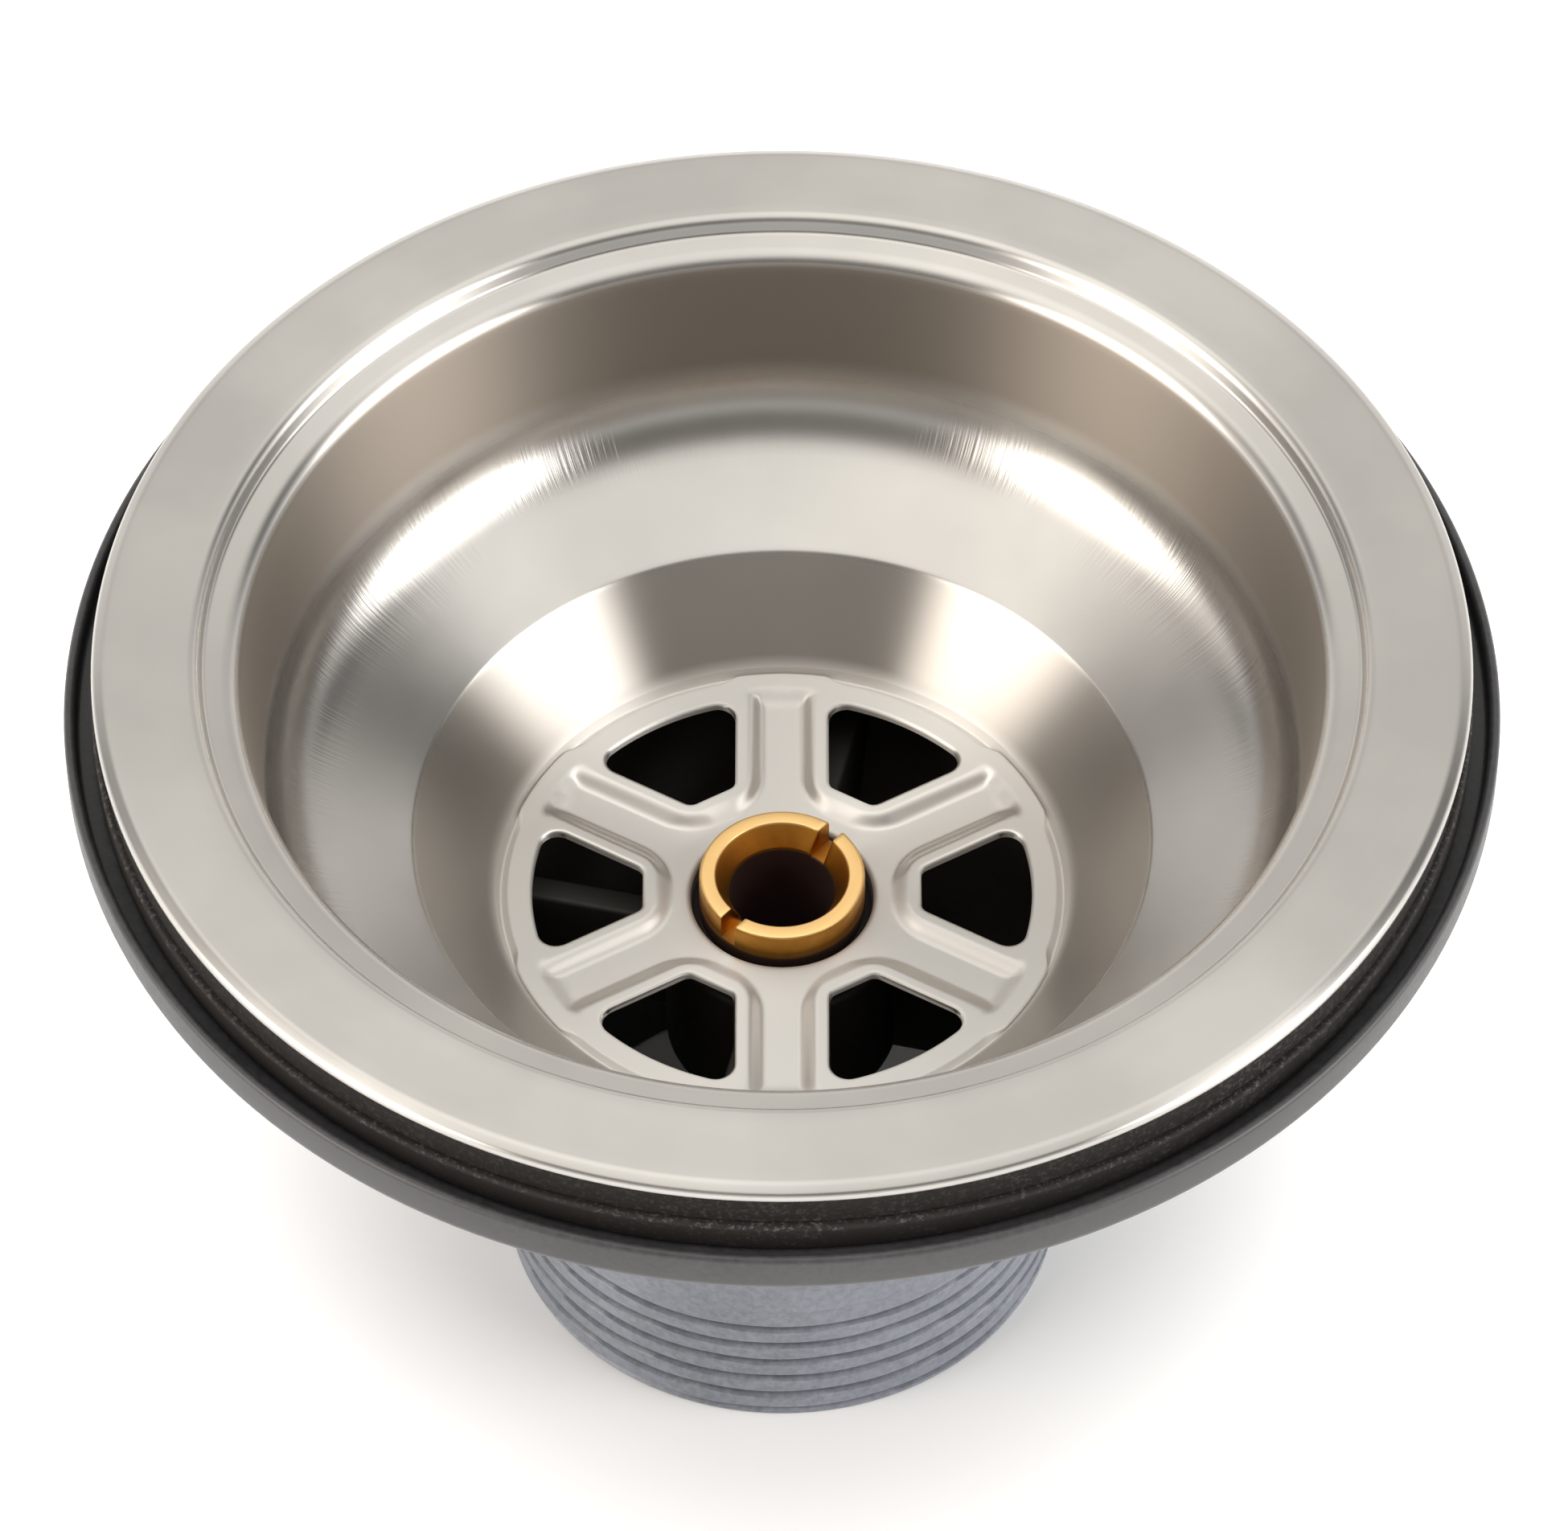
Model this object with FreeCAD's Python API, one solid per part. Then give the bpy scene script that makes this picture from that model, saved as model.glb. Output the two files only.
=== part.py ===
import FreeCAD, Part
import math
import os

# Kitchen sink waste with a pressed steel strainer bowl. Millimetres, +Z up.
# The origin is the centre of the outlet's lower end, which the part stands on.

Vector = FreeCAD.Vector
up_axis = Vector(0, 0, 1)
centre = Vector(0, 0, 0)

# Overall height, from the outlet's end to the top of the steel rim
rim_height = 73.0

# Fixing bush, on the axis
bush_bore_radius = 4.45
bush_wall = 1.55
bush_head_overhang = 0.9
bush_head_height = 4.2
bush_shank_length = 17.5
bush_mouth_flare = 1.15
bush_mouth_depth = 2.0
bush_slot_width = 1.5
bush_slot_depth = 2.4
bush_slot_angle = 49.0
bush_end_chamfer = 0.6

# Strainer bowl: the mouth that drops through the sink's hole, and the sheet
mouth_radius = 44.4
sheet = 0.8

# Strainer bowl: widths, from the hub out to the cone and from the mouth out to the rim
hub_hole_clearance = 0.25
hub_cup_gap = 0.7
hub_land = 4.0
opening_length = 9.2
grid_ring_width = 2.8
cone_run = 6.9
wall_draft = 2.6
ledge_width = 1.85
step_width = 0.95
rim_width = 8.3

# Strainer bowl: falls, each added to the one before, from the rim's top downwards
step_fall = 1.35
ledge_fall = 0.65
wall_fall = 15.8
shelf_fall = 5.7
cone_fall = 7.8
star_depth = 0.8
hub_cup_depth = 1.6
rim_skirt = 1.2

# Strainer bowl: bends of the sheet, on its upper side
rim_edge_fillet = 1.0
rim_step_fillet = 2.0
ledge_fillet = 0.3
mouth_fillet = 1.1
shelf_fillet = 8.0
shelf_edge_fillet = 1.0
grid_fillet = 0.8
hub_cup_fillet = 0.5

# Strainer bowl: grid openings and the sunken star between them
spoke_count = 6
spoke_width = 7.9
first_spoke_angle = 30.0
opening_outer_fillet = 1.5
opening_inner_fillet = 0.9
lip_width = 0.9
star_slope_run = 1.3
star_end_margin = 1.1
star_tip_fillet = 1.0
star_root_fillet = 1.2

# Threaded insert, moulded into the boss
insert_wall = 1.95
insert_length = 12.0
thread_clearance = 0.05
insert_fit_gap = 0.02
insert_groove_width = 2.0
insert_groove_depth = 0.6

# Gaskets
lower_gasket_thickness = 3.0
lower_gasket_proud = 0.2
upper_gasket_inset = 0.3
gasket_bore_margin = 2.0
gasket_fillet = 0.4
gasket_gap = 0.05
gasket_clearance = 0.12

# Waste body: flange and lip
lip_gap = 1.4
lip_wall = 0.9
lip_height = 1.85
lip_fillet = 0.35
flange_thickness = 2.2
flange_edge_fillet = 1.3

# Waste body: cup, funnel and outlet
body_wall = 2.4
bowl_clearance = 0.6
cup_height = 6.4
cup_fillet = 6.0
cup_root_fillet = 1.5
outlet_radius = 23.9
outlet_wall = 3.5
outlet_length = 15.4
outlet_edge_fillet = 0.8
outlet_step_fillet = 0.25
neck_step = 0.7
neck_height = 5.6
neck_fillet = 4.0

# Waste body: spider and boss that carry the insert
boss_wall = 1.8
boss_gap = 1.0
boss_floor = 2.0
boss_fillet = 0.8
arm_count = 4
arm_width = 2.4
arm_height = 11.5
arm_drop = 1.4
first_arm_angle = 77.0

# Waste body: ribs under the flange
rib_count = 6
rib_width = 2.0
rib_height = 7.0
rib_inset = 3.5
rib_foot = 0.8

# How far a cutting or joining tool runs past the face it starts from
overrun = 0.5

# Radii that follow, from the axis outwards
bush_mouth_radius = bush_bore_radius + bush_mouth_flare
bush_shank_radius = bush_bore_radius + bush_wall
bush_head_radius = bush_shank_radius + bush_head_overhang
insert_bore_radius = bush_shank_radius + thread_clearance
insert_radius = insert_bore_radius + insert_wall
boss_radius = insert_radius + boss_wall
hub_hole_radius = bush_shank_radius + hub_hole_clearance
hub_cup_radius = bush_head_radius + hub_cup_gap
opening_inner_distance = hub_cup_radius + hub_land
opening_outer_radius = opening_inner_distance + opening_length
grid_radius = opening_outer_radius + grid_ring_width
star_reach = grid_radius - star_end_margin
shelf_inner_radius = grid_radius + cone_run
shelf_outer_radius = mouth_radius - wall_draft
ledge_radius = mouth_radius + ledge_width
rim_flat_radius = ledge_radius + step_width
rim_radius = rim_flat_radius + rim_width
upper_gasket_radius = rim_radius - upper_gasket_inset
upper_gasket_bore = rim_flat_radius + gasket_bore_margin
lower_gasket_radius = rim_radius + lower_gasket_proud
lip_bore = lower_gasket_radius + lip_gap
flange_radius = lip_bore + lip_wall
cup_bore = mouth_radius + sheet + bowl_clearance
cup_radius = cup_bore + body_wall
lower_gasket_bore = cup_bore + gasket_bore_margin
outlet_bore_radius = outlet_radius - outlet_wall
neck_radius = outlet_radius + neck_step

# Heights that follow, from the rim downwards
rim_underside = rim_height - sheet
ledge_height = rim_height - step_fall
mouth_height = ledge_height - ledge_fall
shelf_outer_height = mouth_height - wall_fall
shelf_inner_height = shelf_outer_height - shelf_fall
grid_height = shelf_inner_height - cone_fall
star_floor = grid_height - star_depth
hub_cup_floor = star_floor - hub_cup_depth
boss_top = hub_cup_floor - sheet - boss_gap
boss_bottom = boss_top - insert_length - boss_floor
arm_top = boss_top - arm_drop
upper_gasket_thickness = lower_gasket_thickness + rim_skirt - sheet
upper_gasket_bottom = rim_underside - upper_gasket_thickness
lower_gasket_top = upper_gasket_bottom - gasket_gap
flange_floor = lower_gasket_top - lower_gasket_thickness
flange_underside = flange_floor - flange_thickness
lip_top = flange_floor + lip_height
cup_bottom = flange_underside - cup_height
neck_top = outlet_length + neck_height

# Directions of the spokes, and half the angle between two of them
spoke_angles = [first_spoke_angle + 360.0 * i / spoke_count for i in range(spoke_count)]
half_step = 180.0 / spoke_count


def direction(angle):
    """Unit vector in the XY plane at an angle in degrees from +X."""
    turn = math.radians(angle)
    return Vector(math.cos(turn), math.sin(turn), 0)


def rounded_wire(points, radii):
    """Closed wire through the points, each corner rounded by its own radius, or sharp where that is zero."""
    count = len(points)
    arcs = []
    for i, (point, radius) in enumerate(zip(points, radii)):
        back = (points[i - 1] - point).normalize()
        ahead = (points[(i + 1) % count] - point).normalize()
        if radius == 0:
            arcs.append((point, None, point))
            continue
        half = back.getAngle(ahead) / 2
        reach = radius / math.tan(half)
        middle = point + (back + ahead).normalize() * (radius / math.sin(half) - radius)
        arcs.append((point + back * reach, middle, point + ahead * reach))
    edges = []
    for i, (start, middle, end) in enumerate(arcs):
        if middle:
            edges.append(Part.Arc(start, middle, end).toShape())
        edges.append(Part.LineSegment(end, arcs[(i + 1) % count][0]).toShape())
    return Part.Wire(edges)


def turned(outline):
    """Solid of revolution about Z, from corners given as (radius, height, fillet)."""
    points = [Vector(radius, 0, height) for radius, height, fillet in outline]
    radii = [fillet for radius, height, fillet in outline]
    return Part.Face(rounded_wire(points, radii)).revolve(centre, up_axis, 360)


def bent_sheet(path, thickness):
    """Outline of a bent sheet: the path is its upper side, and the sheet lies to the left of the path."""
    places = [Vector(radius, height, 0) for radius, height, fillet in path]
    runs = [(b - a).normalize() for a, b in zip(places, places[1:])]
    lefts = [Vector(-run.y, run.x, 0) for run in runs]
    lower = []
    for i, (place, (radius, height, fillet)) in enumerate(zip(places, path)):
        before = lefts[max(i - 1, 0)]
        after = lefts[min(i, len(lefts) - 1)]
        shifted = place + (before + after) * (thickness / (1 + before.dot(after)))
        turns_left = before.cross(after).z > 0
        inner = fillet - thickness if turns_left else fillet + thickness
        lower.append((shifted.x, shifted.y, inner if fillet else 0))
    return list(path) + lower[::-1]


def cylinder(radius, bottom, top):
    """Upright cylinder on the Z axis between two heights."""
    return Part.makeCylinder(radius, top - bottom, Vector(0, 0, bottom))


def star_wire(height, spread):
    """Outline of the sunken star at one height, grown or shrunk sideways by spread."""
    half_width = spoke_width / 2 - lip_width + spread
    inner_distance = opening_inner_distance - lip_width + spread
    reach = star_reach + spread
    lean = math.radians(half_step)
    root = (inner_distance - half_width * math.sin(lean)) / math.cos(lean)
    points = []
    for angle in spoke_angles:
        along = direction(angle)
        across = direction(angle + 90)
        for far, side in ((root, -1), (reach, -1), (reach, 1), (root, 1)):
            points.append(along * far + across * (side * half_width) + up_axis * height)
    radii = [star_root_fillet, star_tip_fillet, star_tip_fillet, star_root_fillet] * spoke_count
    return rounded_wire(points, radii)


def star_block():
    """Tapered star that the press sinks into the grid, from above the plateau down to the star's floor."""
    slope = star_slope_run / star_depth
    top = star_wire(grid_height + overrun, overrun * slope)
    floor = star_wire(star_floor, -star_slope_run)
    return Part.makeLoft([top, floor], True, True)


def opening_block(angle):
    """Upright block for one grid opening: parallel to both spokes, straight inside, round outside."""
    bottom = star_floor - sheet - overrun
    top = grid_height + overrun
    along = direction(angle)
    across = direction(angle + 90)
    lean = math.radians(half_step)
    corners = []
    for far, side in ((opening_inner_distance, -1), (rim_radius, -1), (rim_radius, 1), (opening_inner_distance, 1)):
        half_width = (far * math.sin(lean) - spoke_width / 2) / math.cos(lean)
        corners.append(along * far + across * (side * half_width) + up_axis * bottom)
    wedge = Part.Face(Part.makePolygon(corners + corners[:1])).extrude(up_axis * (top - bottom))
    block = wedge.common(cylinder(opening_outer_radius, bottom, top))
    upright = [e for e in block.Edges if abs(e.tangentAt(e.FirstParameter).z) > math.cos(lean)]
    middle = (opening_inner_distance + opening_outer_radius) / 2
    outer = [e for e in upright if e.CenterOfMass.dot(along) > middle]
    inner = [e for e in block.makeFillet(opening_outer_fillet, outer).Edges
             if abs(e.tangentAt(e.FirstParameter).z) > math.cos(lean) and e.CenterOfMass.dot(along) < middle]
    return block.makeFillet(opening_outer_fillet, outer).makeFillet(opening_inner_fillet, inner)


def make_strainer_bowl():
    """One pressing: rim, wall, shelf and cone turned from a bent sheet, then star, hub cup and openings."""
    path = [
        (rim_radius, rim_height - rim_skirt, 0),
        (rim_radius, rim_height, rim_edge_fillet),
        (rim_flat_radius, rim_height, rim_step_fillet),
        (ledge_radius, ledge_height, ledge_fillet),
        (mouth_radius, mouth_height, mouth_fillet),
        (shelf_outer_radius, shelf_outer_height, shelf_fillet),
        (shelf_inner_radius, shelf_inner_height, shelf_edge_fillet),
        (grid_radius, grid_height, grid_fillet),
        (0, grid_height, 0),
    ]
    bowl = turned(bent_sheet(path, sheet))
    star = star_block()
    sunken = star.translated(up_axis * -sheet)
    cup_outside = turned([
        (0, star_floor - sheet / 2, 0),
        (hub_cup_radius + sheet, star_floor - sheet / 2, 0),
        (hub_cup_radius + sheet, hub_cup_floor - sheet, sheet),
        (0, hub_cup_floor - sheet, 0),
    ])
    flare = hub_cup_radius + hub_cup_fillet + overrun
    cup_inside = turned([
        (0, hub_cup_floor, 0),
        (hub_cup_radius, hub_cup_floor, 0),
        (hub_cup_radius, star_floor, hub_cup_fillet),
        (flare, star_floor, 0),
        (flare, star_floor + overrun, 0),
        (0, star_floor + overrun, 0),
    ])
    bowl = bowl.fuse([sunken, cup_outside]).cut([star, cup_inside])
    holes = [opening_block(angle + half_step) for angle in spoke_angles]
    holes.append(cylinder(hub_hole_radius, hub_cup_floor - sheet - overrun, grid_height))
    return bowl.cut(holes).removeSplitter()


def make_fixing_bush():
    """Hollow screw: slotted head with a tapered mouth, and a plain shank at the thread's outer size."""
    head_top = hub_cup_floor + bush_head_height
    shank_end = hub_cup_floor - bush_shank_length
    bush = turned([
        (bush_bore_radius, shank_end, 0),
        (bush_shank_radius - bush_end_chamfer, shank_end, 0),
        (bush_shank_radius, shank_end + bush_end_chamfer, 0),
        (bush_shank_radius, hub_cup_floor, 0),
        (bush_head_radius, hub_cup_floor, 0),
        (bush_head_radius, head_top, 0),
        (bush_mouth_radius, head_top, 0),
        (bush_bore_radius, head_top - bush_mouth_depth, 0),
    ])
    length = 2 * (bush_head_radius + overrun)
    corner = Vector(-length / 2, -bush_slot_width / 2, head_top - bush_slot_depth)
    slot = Part.makeBox(length, bush_slot_width, bush_slot_depth + overrun, corner)
    slot.rotate(centre, up_axis, bush_slot_angle)
    return bush.cut(slot)


def make_threaded_insert():
    """Brass nut with a groove that the boss's plastic flows into."""
    bottom = boss_top - insert_length
    middle = boss_top - insert_length / 2
    waist = insert_radius - insert_groove_depth
    return turned([
        (insert_bore_radius, bottom, 0),
        (insert_radius, bottom, 0),
        (insert_radius, middle - insert_groove_width / 2, 0),
        (waist, middle - insert_groove_width / 2, 0),
        (waist, middle + insert_groove_width / 2, 0),
        (insert_radius, middle + insert_groove_width / 2, 0),
        (insert_radius, boss_top, 0),
        (insert_bore_radius, boss_top, 0),
    ])


def make_waste_body():
    """One moulding: flange with lip, cup, funnel and outlet turned in one go, then spider, boss and ribs."""
    rise = (cup_bottom - neck_top) / (cup_radius - neck_radius)
    side_wall = body_wall * math.hypot(1, rise) / rise
    outside = [
        (outlet_radius, 0, outlet_edge_fillet),
        (outlet_radius, outlet_length, outlet_step_fillet),
        (neck_radius, outlet_length, outlet_step_fillet),
        (neck_radius, neck_top, neck_fillet),
        (cup_radius, cup_bottom, cup_fillet),
        (cup_radius, flange_underside, cup_root_fillet),
        (flange_radius, flange_underside, flange_edge_fillet),
        (flange_radius, lip_top, lip_fillet),
    ]
    inside = [
        (lip_bore, lip_top, lip_fillet),
        (lip_bore, flange_floor, lip_fillet),
        (cup_bore, flange_floor, lip_fillet),
        (cup_bore, cup_bottom + (side_wall - body_wall) * rise, cup_fillet),
        (outlet_bore_radius, neck_top + (outlet_bore_radius + side_wall - neck_radius) * rise, neck_fillet),
        (outlet_bore_radius, 0, 0),
    ]
    shell = turned(outside + inside)
    filled = turned(outside[:6] + [(0, flange_underside, 0), (0, 0, 0)])

    boss = turned([
        (0, boss_bottom, 0),
        (boss_radius, boss_bottom, boss_fillet),
        (boss_radius, boss_top, boss_fillet),
        (0, boss_top, 0),
    ])
    arms = []
    for i in range(arm_count):
        corner = Vector(0, -arm_width / 2, arm_top - arm_height)
        arm = Part.makeBox(cup_radius, arm_width, arm_height, corner)
        arm.rotate(centre, up_axis, first_arm_angle + 360.0 * i / arm_count)
        arms.append(arm.common(filled))

    ribs = []
    rib_root = cup_radius - body_wall / 2
    for i in range(rib_count):
        corners = [
            Vector(rib_root, -rib_width / 2, flange_underside),
            Vector(flange_radius - rib_inset, -rib_width / 2, flange_underside),
            Vector(cup_radius + rib_foot, -rib_width / 2, flange_underside - rib_height),
            Vector(rib_root, -rib_width / 2, flange_underside - rib_height),
        ]
        rib = Part.Face(Part.makePolygon(corners + corners[:1])).extrude(Vector(0, rib_width, 0))
        rib.rotate(centre, up_axis, 360.0 * i / rib_count)
        ribs.append(rib.cut(cylinder(cup_bore, neck_top, flange_underside + overrun)))

    pocket = cylinder(insert_radius + insert_fit_gap, boss_top - insert_length, boss_top + overrun)
    way = cylinder(hub_hole_radius, boss_bottom - overrun, boss_top)
    return shell.fuse([boss] + arms + ribs).cut([pocket, way]).removeSplitter()


def make_lower_gasket():
    """Rubber ring that lies in the flange, inside its lip."""
    return turned([
        (lower_gasket_bore, flange_floor, gasket_fillet),
        (lower_gasket_radius, flange_floor, gasket_fillet + lip_fillet),
        (lower_gasket_radius, lower_gasket_top, gasket_fillet),
        (lower_gasket_bore, lower_gasket_top, gasket_fillet),
    ])


def make_upper_gasket():
    """Rubber ring under the steel rim, stepped at the top to sit inside the rim's skirt."""
    shoulder = rim_height - rim_skirt - gasket_clearance
    seat_radius = rim_radius - sheet - gasket_clearance
    return turned([
        (upper_gasket_bore, upper_gasket_bottom, gasket_fillet),
        (upper_gasket_radius, upper_gasket_bottom, gasket_fillet),
        (upper_gasket_radius, shoulder, gasket_fillet / 2),
        (seat_radius, shoulder, 0),
        (seat_radius, rim_underside, gasket_fillet),
        (upper_gasket_bore, rim_underside, gasket_fillet),
    ])


def write_parts():
    """Write every piece to its own file in the parts folder."""
    os.makedirs("parts", exist_ok=True)
    pieces = {
        "strainer_bowl": make_strainer_bowl(),
        "upper_gasket": make_upper_gasket(),
        "lower_gasket": make_lower_gasket(),
        "waste_body": make_waste_body(),
        "threaded_insert": make_threaded_insert(),
        "fixing_bush": make_fixing_bush(),
    }
    for name, shape in pieces.items():
        solid = shape.Solids[0]
        print(name, len(shape.Solids), "solid", shape.isValid(), round(solid.Volume, 1), shape.BoundBox)
        solid.exportStep("parts/" + name + ".step")


write_parts()
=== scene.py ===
import math

import bmesh
import bpy
import numpy as np
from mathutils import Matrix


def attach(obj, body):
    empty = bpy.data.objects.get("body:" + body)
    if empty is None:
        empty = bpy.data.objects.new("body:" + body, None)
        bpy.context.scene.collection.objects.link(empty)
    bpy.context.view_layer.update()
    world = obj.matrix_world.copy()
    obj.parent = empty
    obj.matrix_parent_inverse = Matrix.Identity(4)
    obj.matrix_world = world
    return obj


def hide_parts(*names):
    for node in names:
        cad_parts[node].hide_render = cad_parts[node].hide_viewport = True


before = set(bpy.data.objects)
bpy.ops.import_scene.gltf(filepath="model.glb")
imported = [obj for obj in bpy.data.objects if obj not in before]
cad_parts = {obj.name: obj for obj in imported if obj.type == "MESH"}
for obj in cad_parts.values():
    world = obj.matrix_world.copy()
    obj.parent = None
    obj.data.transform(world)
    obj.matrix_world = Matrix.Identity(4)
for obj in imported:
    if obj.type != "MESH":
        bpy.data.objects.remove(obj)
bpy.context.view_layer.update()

bl_info = {
    "name": "Sink strainer",
    "version": (1, 0, 0),
    "blender": (4, 5, 0),
    "location": "View3D > Sidebar > Sink strainer",
    "description": "Builds the looks of a kitchen sink waste with a steel strainer bowl",
    "category": "Object",
}

# One millimetre in metres
MM = 0.001
# Lengths below this count as nothing, and points closer than the next are one point
TINY = 1e-7
MERGE = 1e-6
# How far one moulded or turned shape reaches into the next
OVERLAP = 1.0 * MM
# Longest straight stretch between two points of a section
RUN = 1.2 * MM
# Smallest rounding of an edge
LEAST_BEND = 0.1 * MM
# Points once round the axis
RING = 240
# Openings in the grid, arms of the spider and ribs under the flange
OPENINGS, ARMS, RIBS = 6, 4, 6
# Angle between two spokes of the grid
SIXTH = 2 * math.pi / OPENINGS
# Edges that bend more than this look sharp
SHARP_ANGLE = math.radians(40)
WHITE = (1.0, 1.0, 1.0, 1.0)


def length(name, description, millimetres):
    """A length property whose default is given in millimetres."""
    return bpy.props.FloatProperty(
        name=name, description=description, default=millimetres * MM, unit="LENGTH", precision=5)


def number(name, description, value):
    """A plain number property."""
    return bpy.props.FloatProperty(name=name, description=description, default=value, precision=4)


def angle(name, description, degrees):
    """An angle property whose default is given in degrees."""
    return bpy.props.FloatProperty(
        name=name, description=description, default=math.radians(degrees), subtype="ANGLE")


def colour(name, description, red, green, blue):
    """A colour property in linear light."""
    return bpy.props.FloatVectorProperty(
        name=name, description=description, default=(red, green, blue), size=3, subtype="COLOR", min=0)


class BowlSettings(bpy.types.PropertyGroup):
    """Sizes and colour of the pressed steel bowl."""

    rim_top: length("Rim top", "Height of the rim's top above the outlet's end", 73.0)
    rim_radius: length("Rim radius", "Outside radius of the rim", 55.5)
    rim_skirt: length("Rim skirt", "Height of the rim's turned-down edge", 1.2)
    rim_roll: length("Rim roll", "Width of the rim's rounded outer edge", 1.0)
    rim_flat: length("Rim flat", "Radius where the flat rim steps down", 47.2)
    step_roll: length("Step roll", "Rounding at the top of the step", 1.0)
    ledge: length("Ledge radius", "Radius at the foot of the step", 46.6)
    ledge_top: length("Ledge height", "Height at the foot of the step", 71.65)
    mouth: length("Mouth radius", "Radius of the bowl's mouth", 43.69)
    mouth_top: length("Mouth height", "Height of the bowl's mouth", 71.34)
    mouth_roll: length("Mouth roll", "Rounding of the bowl's mouth", 1.85)
    shelf_out: length("Shelf outside", "Radius where the wall meets the sloping shelf", 41.8)
    shelf_top: length("Shelf height", "Height where the wall meets the shelf", 55.2)
    shelf_fillet: length("Shelf fillet", "Radius of the bend between wall and shelf", 8.0)
    shelf_in: length("Shelf inside", "Radius of the edge between shelf and cone", 30.5)
    shelf_low: length("Shelf edge height", "Height of the edge between shelf and cone", 49.5)
    grid_radius: length("Grid radius", "Radius of the grid's outer edge", 23.6)
    grid_top: length("Grid height", "Height of the grid's raised pads", 41.7)
    sheet: length("Sheet", "Thickness of the steel", 0.8)
    spoke_half: length("Half spoke", "Half the width between two openings", 3.95)
    opening_in: length("Opening inside", "Distance of an opening's straight edge from the axis", 11.6)
    opening_out: length("Opening outside", "Radius of an opening's round edge", 20.8)
    lip: length("Lip", "Width of the raised lip round an opening", 0.95)
    star_depth: length("Star depth", "Depth of the sunken star", 0.76)
    star_run: length("Star slope", "Width of the slope down to the star's floor", 1.7)
    star_reach: length("Star reach", "Distance of the star's tips from the axis", 22.1)
    star_corner: length("Star corner", "Rounding of the corners at the star's tips", 1.2)
    pad_radius: length("Pad radius", "Radius of the grid's raised edge beside an opening", 22.85)
    tip_bulge: length("Tip bulge", "How far the raised edge reaches further out beyond a spoke", 0.6)
    groove: length("Groove radius", "Radius of the groove round the grid", 23.45)
    groove_depth: length("Groove depth", "Depth of the groove round the grid", 0.55)
    cup_radius: length("Hub cup radius", "Radius of the cup in the hub", 7.6)
    cup_floor: length("Hub cup floor", "Height of the floor of the cup in the hub", 39.3)
    hole: length("Hub hole", "Radius of the hole in the hub", 6.25)
    steel: colour("Steel", "Colour of the satin steel", 0.58, 0.558, 0.528)
    worn: colour("Worn steel", "Colour of the brighter steel of the grid", 0.74, 0.715, 0.68)
    # Painted shade: a dark brown tint on the bowl's inner wall, standing in for the dark room that the wall
    # reflects
    film: colour("Film", "Colour of the wall under its thin brown film", 0.297, 0.26, 0.223)
    # Painted shade: a darker tint on the cone, standing in for the dark openings and shaded cone that it
    # reflects
    cone_shade: colour("Cone film", "Colour of the cone under its thin film", 0.45, 0.425, 0.395)
    # A dark stain and painted shade in the hub's narrow cup round the bush
    hub_stain_and_shade: colour("Hub stain", "Colour of the dirt in the hub's cup", 0.02, 0.012, 0.008)
    wall_dull: number("Film dullness", "Roughness that the wall's film adds", 0.32)
    worn_dull: number("Grid dullness", "Roughness that the grid's wear adds", 0.23)
    cone_dull: number("Cone dullness", "Roughness that the cone's film adds", 0.08)
    stain_dull: number("Stain dullness", "Roughness that the hub's dirt adds", 0.4)
    scratches: number("Scratches", "Strength of the marks from pressing", 0.25)


class GasketSettings(bpy.types.PropertyGroup):
    """Sizes and colour of the rubber rings."""

    upper_out: length("Upper outside", "Outside radius of the upper ring", 55.2)
    upper_in: length("Upper inside", "Inside radius of the upper ring", 49.2)
    upper_top: length("Upper top", "Height of the upper ring's top", 72.2)
    seat_out: length("Seat radius", "Radius of the part that sits inside the rim's skirt", 53.5)
    shoulder: length("Shoulder height", "Height of the step below the rim's skirt", 71.68)
    upper_low: length("Upper underside", "Height of the upper ring's underside", 68.8)
    lower_out: length("Lower outside", "Outside radius of the lower ring", 55.7)
    lower_in: length("Lower inside", "Inside radius of the lower ring", 47.8)
    lower_top: length("Lower top", "Height of the lower ring's top", 68.75)
    lower_low: length("Lower underside", "Height of the lower ring's underside", 65.75)
    rubber: colour("Rubber", "Colour of the rubber", 0.0085, 0.0065, 0.0055)
    dust: colour("Dust", "Colour of the dust on the rubber", 0.09, 0.085, 0.083)


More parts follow.
